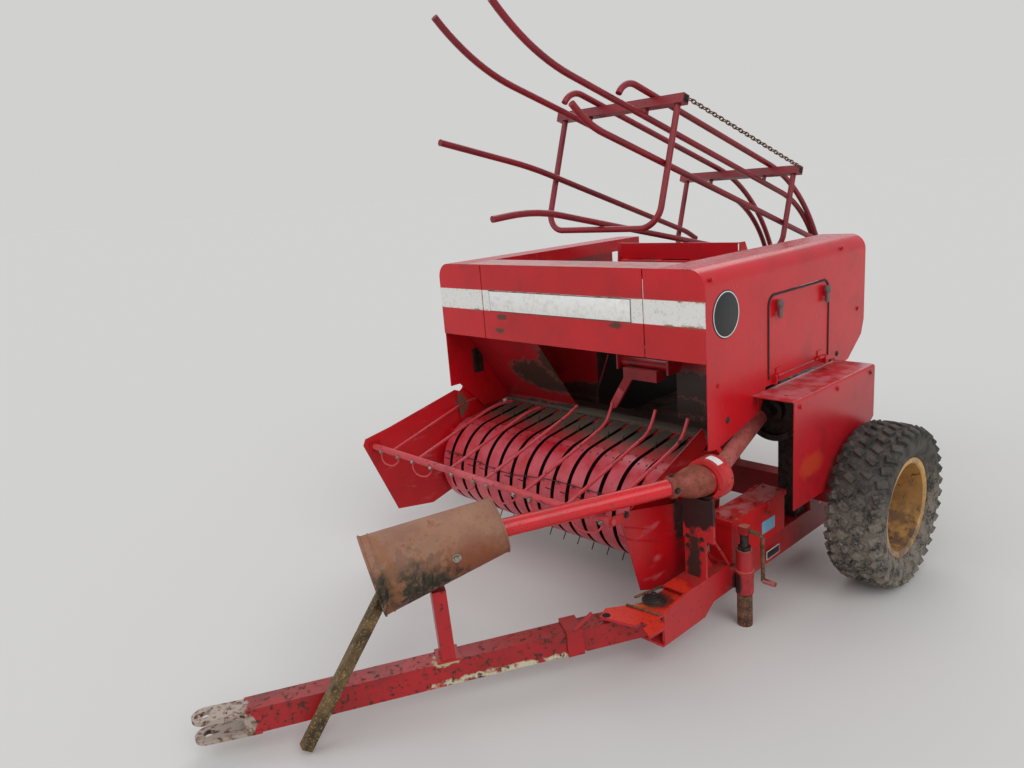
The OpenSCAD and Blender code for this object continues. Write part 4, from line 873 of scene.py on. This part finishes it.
# %% Loops, bolts and the strand of wire
HOOPS = ((-0.692, -0.560), (-0.447, -0.315), (-0.170, -0.028), (0.053, 0.212), (0.300, 0.445), (0.520, 0.655))
loops = []
for a, b in HOOPS:
    m, w = (a + b) / 2, (b - a) / 2
    curve = rounded([(a, 1.220, 0.440), (a, 1.214, 0.422), (m - w * 0.62, 1.206, 0.402), (m, 1.203, 0.396),
                     (m + w * 0.62, 1.206, 0.402), (b, 1.214, 0.422), (b, 1.220, 0.440)], 5)
    loops.append(wire(curve, 0.0038, "loop", 2))
dress(join(loops, "guard_loops"), guard_red, "windguard")
bolts("guard_bolts", [((x, 1.2135, 0.4445), (0, -0.8, -0.6), 0.008) for pair in HOOPS for x in pair], galvanised_pin,
      "windguard")


def on_band(x, z, lift=0.0035):
    """The point of the bands' round front at this height."""
    return Vector((x, AXIS_Y - math.sqrt((BAND + lift) ** 2 - (z - AXIS_Z) ** 2), z))


strand = rounded([on_band(x, z) for x, z in ((-0.606, 0.378), (-0.438, 0.376), (-0.162, 0.359), (0.092, 0.382),
                                             (0.319, 0.384), (0.475, 0.386), (0.610, 0.380))], 8)
pieces = [wire(strand, 0.0017, "strand", 1)]
for k in range(2, len(strand) - 2, 3):
    at = strand[k]
    for turn in (-1, 1):
        barb = [at + Vector((-0.010, -0.004, 0.012 * turn)), at + Vector((0, -0.0035, 0)),
                at + Vector((0.011, -0.006, -0.010 * turn))]
        pieces.append(wire(barb, 0.0012, "barb", 1))
dress(join(pieces, "barbed_strand"), oily_black, "pickup")
print("loops:", len(HOOPS), "points of the strand:", len(strand))

# %% [markdown]
# ## Hood fittings
#
# The door sits in a black rubber seal with two lever catches. The black round plate with its white
# ring and the plate on the stripe carry nothing here: the real ones are printed.

# %% Seal, catches, plugs and the two plates
SIDE_X = 0.850
corner = [(SIDE_X + 0.0005, 2.009 + 0.045 - 0.045 * math.cos(math.radians(a)), 1.085 + 0.045 * math.sin(math.radians(a)))
          for a in range(0, 91, 15)]
far = [(SIDE_X + 0.0005, 4.508 - y, z) for x, y, z in reversed(corner)]
seal = wire([(SIDE_X + 0.0005, 2.009, 0.806), *corner, *far, (SIDE_X + 0.0005, 2.499, 0.806)], 0.0045, "door_seal", 2)
dress(seal, seal_rubber, "chassis")

levers = []
for y in (2.072, 2.460):
    knob = lathe([(0, 0.012), (0.011, 0.0105), (0.017, 0.005), (0.018, -0.004)], "knob", (0.866, y, 1.092), (1, 0, 0), 28)
    paddle = block((0.864, y - 0.013, 1.038), (0.871, y + 0.013, 1.094), "paddle", 0.0032)
    levers.append(join([knob, paddle], "lever"))
dress(join(levers, "door_catches"), plain("grey_moulded_nylon", colour("5C5654"), colour("7A4A48"), 0.45), "door")

plugs = [lathe([(0, 0.006), (0.007, 0.0055), (0.0105, 0.003), (0.0125, 0.0)], "plug", place, (1, 0, 0), 24)
         for place in ((SIDE_X, 1.718, 0.718), (SIDE_X, 2.586, 0.794))]
dress(join(plugs, "side_plugs"), seal_rubber, "chassis")

disc = lathe([(0, 0.0022), (0.084, 0.0022), (0.0865, 0.0012), (0.087, 0)], "round_plate",
             (SIDE_X, 1.718, 1.109), (1, 0, 0), 72)
dress(disc, black_vinyl, "chassis")
ring = lathe([(0.0790, 0.0020), (0.0794, 0.0029), (0.0826, 0.0029), (0.0830, 0.0020)], "round_plate_ring",
             (SIDE_X, 1.718, 1.109), (1, 0, 0), 72)
dress(ring, white_film, "chassis")

dress(block((-0.259, 1.5882, 1.0785), (0.528, 1.590, 1.1685), "stripe_plate_edge", 0.0006), black_vinyl, "chassis")
dress(block((-0.2565, 1.5876, 1.081), (0.5255, 1.5885, 1.166), "stripe_plate", 0.0004), white_film, "chassis")
print("door seal, catches, plugs and plates are on")

# %% Bolt heads on the sheets
heads = []
for y, z in ((1.63, 1.245), (2.62, 1.245), (1.66, 0.62), (1.66, 0.86), (2.78, 0.96)):
    heads.append(((SIDE_X, y, z), (1, 0, 0), 0.007))
bolts("hood_bolts", heads, hood_red, "chassis")
shield_heads = [((1.022, y, z), (1, 0, 0), 0.008) for y, z in ((1.93, 0.742), (2.53, 0.742), (2.53, 0.40), (2.23, 0.742))]
bolts("shield_bolts", shield_heads, shield_red, "chassis")
print("bolts:", len(heads) + len(shield_heads))

# %% [markdown]
# ## Drive line
#
# Where the front guard tube meets the stand it swells into a rusty pressed bulb that hides the
# universal joint. A bulb, the rolled rims of the bell and the worn pin are all round, so each is
# a profile spun about its own axis and then stood up along the shaft.

# %% Bulb, rolled rims and their bolts
JOINT = Vector((0.840, 1.610, 0.526))
DRIVE = Vector((-0.4368, -0.8996, -0.0402)).normalized()
UP = (Vector((0, 0, 1)) - DRIVE * DRIVE.z).normalized()
OUT = DRIVE.cross(UP).normalized()
OUT = OUT if OUT.x > 0 else -OUT
bulb = lathe([(0.0315, 0.168), (0.0385, 0.166), (0.0425, 0.160), (0.0425, 0.147), (0.0385, 0.141), (0.0400, 0.131),
              (0.0470, 0.114), (0.0545, 0.094), (0.0592, 0.074), (0.0601, 0.056), (0.0601, 0.010),
              (0.0315, 0.009)], "joint_bulb", JOINT, DRIVE, 56)
pick(bulb, lambda c, n: True)
bpy.ops.mesh.bisect(plane_co=(0, 1.5735, 0), plane_no=(0, 1, 0), use_fill=True, clear_outer=True)
bpy.ops.object.mode_set(mode="OBJECT")
dress(bulb, bulb_rust, "drive_line")
bolts("bulb_bolts", [(JOINT + DRIVE * 0.153 + UP * 0.0420, UP, 0.007), (JOINT + DRIVE * 0.153 + OUT * 0.0420, OUT, 0.008)],
      oily_black, "drive_line")

BELL_BACK, BELL_MOUTH = Vector((0.4906, 0.890, 0.512)), Vector((0.297, 0.492, 0.422))
bell_way = (BELL_MOUTH - BELL_BACK).normalized()


def rolled_rim(radius, at, name, thick=0.004):
    """A wire rolled into the edge of a sheet cone."""
    turns = [(radius + thick * math.cos(math.radians(a)), thick * math.sin(math.radians(a))) for a in range(0, 361, 45)]
    return lathe(turns, name, at, bell_way, 72)


rims = [rolled_rim(0.1345, BELL_MOUTH - bell_way * 0.004, "rim"), rolled_rim(0.0955, BELL_BACK + bell_way * 0.004, "rim", 0.0035),
        rolled_rim(0.1305, BELL_MOUTH - bell_way * 0.034, "rim", 0.003)]
dress(join(rims, "bell_rims"), bell_pink, "drive_line")
bolts("bell_bolt", [((0.513, 0.682, 0.476), (0.9, -0.437, 0), 0.010)], galvanised_pin, "drive_line")

patch = line([(0.840 + 0.0808 * math.cos(math.radians(a)), 1.590, 0.526 + 0.0808 * math.sin(math.radians(a)))
              for a in range(52, 93, 8)], "collar_patch")
bpy.ops.object.mode_set(mode="EDIT")
bpy.ops.mesh.select_all(action="SELECT")
bpy.ops.mesh.extrude_edges_move(TRANSFORM_OT_translate={"value": (0, 0.034, 0)})
bpy.ops.object.mode_set(mode="OBJECT")
modify(patch, "SOLIDIFY", thickness=0.0008, offset=0)
dress(patch, white_film, "chassis")
print("drive line dressed along", [round(v, 3) for v in DRIVE])

# %% [markdown]
# ## Fork, jack and toolbox
#
# The fork turns on a greasy stack of washers, the jack has a threaded spindle and a crank with a
# worn grip, and the toolbox has its hasp. The thread is a saw-toothed profile, spun: at this size
# the eye can't tell rings from a helix.

# %% Washers, latch strip and rod on the fork
stack = lathe([(0, 0.0145), (0.012, 0.0140), (0.0145, 0.0115), (0.0195, 0.0115), (0.021, 0.0050), (0.0265, 0.0036),
               (0.028, 0.0018), (0.033, 0.0030), (0.0355, 0.0014), (0.0395, 0.0022), (0.0435, 0.0010), (0.0445, -0.002)],
              "pin_stack", (0.770, 1.349, 0.129), (0, 0, 1), 48)
dress(stack, oily_black, "chassis")
bolts("pin_nut", [((0.770, 1.349, 0.1432), (0, 0, 1), 0.0115)], oily_black, "chassis")
way = Vector((0.038, 0.173, 0)).normalized()
side_way = Vector((way.y, -way.x, 0))
a, b = Vector((0.706, 1.323, 0.1262)), Vector((0.744, 1.496, 0.1262))
strip = plate([a + side_way * 0.006, b + side_way * 0.006, b + way * 0.006, b - side_way * 0.006, a - side_way * 0.006,
               a - way * 0.006], 0.005, "latch_strip", 0.0012)
rod = wire([(0.716, 1.259, 0.1275), (0.760, 1.265, 0.1285), (0.849, 1.276, 0.1275)], 0.0048, "latch_rod", 2)
dress(join([strip, rod], "latch"), rust_brown, "chassis")
# The hole in the sector plate is a thin near-black disc: painted shade.
hole = lathe([(0, 0.0006), (0.0115, 0.0006), (0.0145, 0.0012), (0.0155, 0)], "sector_hole", (0.702, 1.164, 0.123), (0, 0, 1), 24)
dress(hole, dark_hole, "chassis")
print("latch strip", round((b - a).length / MM), "mm long")

# %% Jack: collars, thread and grip
JACK = (0.902, 1.739)
teeth = [(0.0125, 0.214)]
for k in range(12):
    teeth += [(0.0165, 0.2165 + 0.0065 * k), (0.0145, 0.2200 + 0.0065 * k)]
teeth.append((0.0125, 0.294))
screw = lathe(teeth, "jack_thread", (*JACK, 0), (0, 0, 1), 32)
collar = lathe([(0.0335, 0.1195), (0.0368, 0.1205), (0.0375, 0.1225), (0.0375, 0.1285), (0.0365, 0.1300), (0.0305, 0.1305)],
               "jack_collar", (*JACK, 0), (0, 0, 1), 40)
nut = lathe([(0.0255, 0.2115), (0.0270, 0.2125), (0.0270, 0.2240), (0.0255, 0.2255), (0.0140, 0.2260)], "jack_nut",
            (*JACK, 0), (0, 0, 1), 6)
dress(join([screw, nut], "jack_screw"), oily_black, "chassis")
dress(collar, jack_red, "chassis")

crank_low, crank_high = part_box("jack_crank")
tip = Vector((crank_high[0], JACK[1] + 0.048, crank_low[2] + 0.008))
grip = lathe([(0.0072, 0), (0.0100, 0.001), (0.0108, 0.004), (0.0100, 0.010), (0.0100, 0.040), (0.0108, 0.046),
              (0.0098, 0.050), (0.0072, 0.051)], "crank_grip", tip - Vector((0.052, 0, 0.0)), (1, 0, -0.02), 24)
dress(grip, plain("perished_pink_grip", colour("B4605C"), colour("8C4A44"), 0.7), "jack_crank")
print("crank tip at", [round(v, 3) for v in tip])

# %% Toolbox: hasp, lid rivets and blank plates
hasp = [block((0.8540, 1.974, 0.262), (0.8575, 2.000, 0.304), "hasp", 0.0008),
        wire(rounded([(0.8575, 1.980, 0.272), (0.866, 1.980, 0.268), (0.869, 1.987, 0.262), (0.866, 1.994, 0.268),
                      (0.8575, 1.994, 0.272)], 4), 0.0022, "hasp", 2),
        lathe([(0, 0.004), (0.004, 0.0035), (0.0055, 0.001), (0.0055, 0)], "hasp", (0.8575, 1.987, 0.292), (1, 0, 0), 14)]
dress(join(hasp, "toolbox_hasp"), rust_brown, "chassis")
lid_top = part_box("toolbox_lid")[1][2]
bolts("lid_rivets", [((x, y, lid_top - 0.0004), (0, 0, 1), 0.005) for x in (0.775, 0.838) for y in (1.76, 1.93, 2.10)],
      frame_red, "toolbox_lid")
dress(block((0.8538, 1.951, 0.178), (0.8552, 2.051, 0.230), "blue_plate", 0.0004),
      plain("pale_blue_film", colour("6FA6C4"), colour("8FB8CC"), 0.4, 0.015), "chassis")
beam_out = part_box("main_frame")[1][0]
dress(block((0.8628, 1.970, 0.062), (0.8642, 2.072, 0.098), "beam_plate_edge", 0.0004), white_film, "chassis")
dress(block((0.8632, 1.9725, 0.0645), (0.8646, 2.0695, 0.0955), "beam_plate", 0.0004), black_vinyl, "chassis")
print("toolbox fitted; the beam's outermost x is", round(beam_out, 3))

# %% Stays of the stand, creases and bolts of the right-hand gather sheet, and bolts of the stand
stays = [wire([(0.806, 1.582, 0.262), (0.806, 1.640, 0.205), (0.806, 1.702, 0.148)], 0.006, "stay", 3),
         wire([(0.846, 1.600, 0.300), (0.848, 1.660, 0.220), (0.850, 1.712, 0.146)], 0.006, "stay", 3)]
dress(join(stays, "stand_stays"), frame_red, "chassis")
creases = [wire(rounded([(0.7002, y, z) for y, z in way], 5), 0.0028, "crease", 2)
           for way in (((1.262, 0.390), (1.324, 0.350), (1.45, 0.299), (1.585, 0.244)),
                       ((1.288, 0.412), (1.45, 0.344), (1.608, 0.280)))]
dress(join(creases, "sheet_creases"), sheet_red, "pickup")
bolts("gather_bolts", [((0.7005, y, z), (1, 0, 0), 0.0085) for y, z in ((1.30, 0.455), (1.60, 0.40), (1.60, 0.315), (1.645, 0.36))],
      oily_black, "pickup")
bolts("stand_bolts", [((x, 1.5595, z), (0, -1, 0), 0.006) for x in (0.775, 0.835) for z in (0.300, 0.262)], oily_black, "chassis")
print("creases:", len(creases))

# %% [markdown]
# ## Bale chute
#
# The chute's cross bars are square tubes; the shade in their hollow ends is painted, as a thin
# near-black plate at each end. The chain that holds the folded chute is made of welded links: one link is
# bent from a wire, every second one is turned a quarter, and they follow the same line as the plain bar
# that stands for it in the model.

# %% Hollow bar ends and the chain
ends = []
for y, z in ((2.070, 1.887), (3.005, 1.574)):
    for side in (-1, 1):
        # Painted shade: each hollow end is a thin near-black plate.
        mouth = block((-0.0006, -0.0145, -0.0145), (0.0006, 0.0145, 0.0145), "bar_end", 0.0004)
        mouth.matrix_world = (Matrix.Translation((0.124 + side * 0.3402, y, z))
                              @ Matrix.Rotation(math.radians(-18.5), 4, "X"))
        settle(mouth)
        ends.append(mouth)
dress(join(ends, "bar_ends"), dark_hole, "chute")

low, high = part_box("chute_chain")
first = Vector(((low[0] + high[0]) / 2, low[1] + 0.004, high[2] - 0.006))
last = Vector(((low[0] + high[0]) / 2, high[1] - 0.004, low[2] + 0.006))
run = (last - first).normalized()
count = int((last - first).length / 0.026)
loop = [(0.0075 * math.cos(math.radians(a)), 0, 0.0105 * math.sin(math.radians(a)) + (0.006 if 0 < a < 180 else -0.006))
        for a in range(10, 371, 30)]
link = wire([*loop, loop[0]], 0.0026, "link", 1)
places = [Matrix.Translation(first + run * (0.026 * (k + 0.5))) @ along(run)
          @ Matrix.Rotation(math.radians(90 * (k % 2)), 4, "Z") for k in range(count)]
chain = copies(link, places, "chain_links")
dress(chain, rust_brown, "chute")
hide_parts("chute_chain")
print("links:", count)

# %% A fold line of the recess, the slotted bracket and a packer finger
folds = [wire([(-0.03, 2.1035, 0.800), (-0.106, 2.1035, 0.620), (-0.112, 2.1035, 0.500)], 0.004, "fold", 2)]
dress(join(folds, "recess_folds"), recess_red, "chassis")
bracket = [block((-0.5975, 1.750, 0.735), (-0.5915, 1.765, 0.835), "slot", 0.001),
           block((-0.5975, 1.785, 0.735), (-0.5915, 1.800, 0.835), "slot", 0.001),
           block((-0.5980, 1.744, 0.722), (-0.5950, 1.806, 0.845), "slot", 0.0008)]
dress(join(bracket, "slot_bracket"), oily_black, "chassis")
BASE, DOWN, ACROSS = Vector((0.224, 1.953, 0.769)), Vector((-0.559, 0, -0.829)), Vector((0.829, 0, -0.559))
arm = plate([BASE + DOWN * d + ACROSS * w for d, w in ((0.095, -0.0205), (0.095, 0.0205), (0.186, 0.0195), (0.203, 0.011),
                                                      (0.205, -0.004), (0.198, -0.0185))], 0.0144, "packer_finger", 0.002)
dress(arm, guard_red, "packer")
bolts("packer_bolt", [((0.329, 1.9545, 0.770), (0, -1, 0), 0.010)], oily_black, "packer")
print("recess detailed")
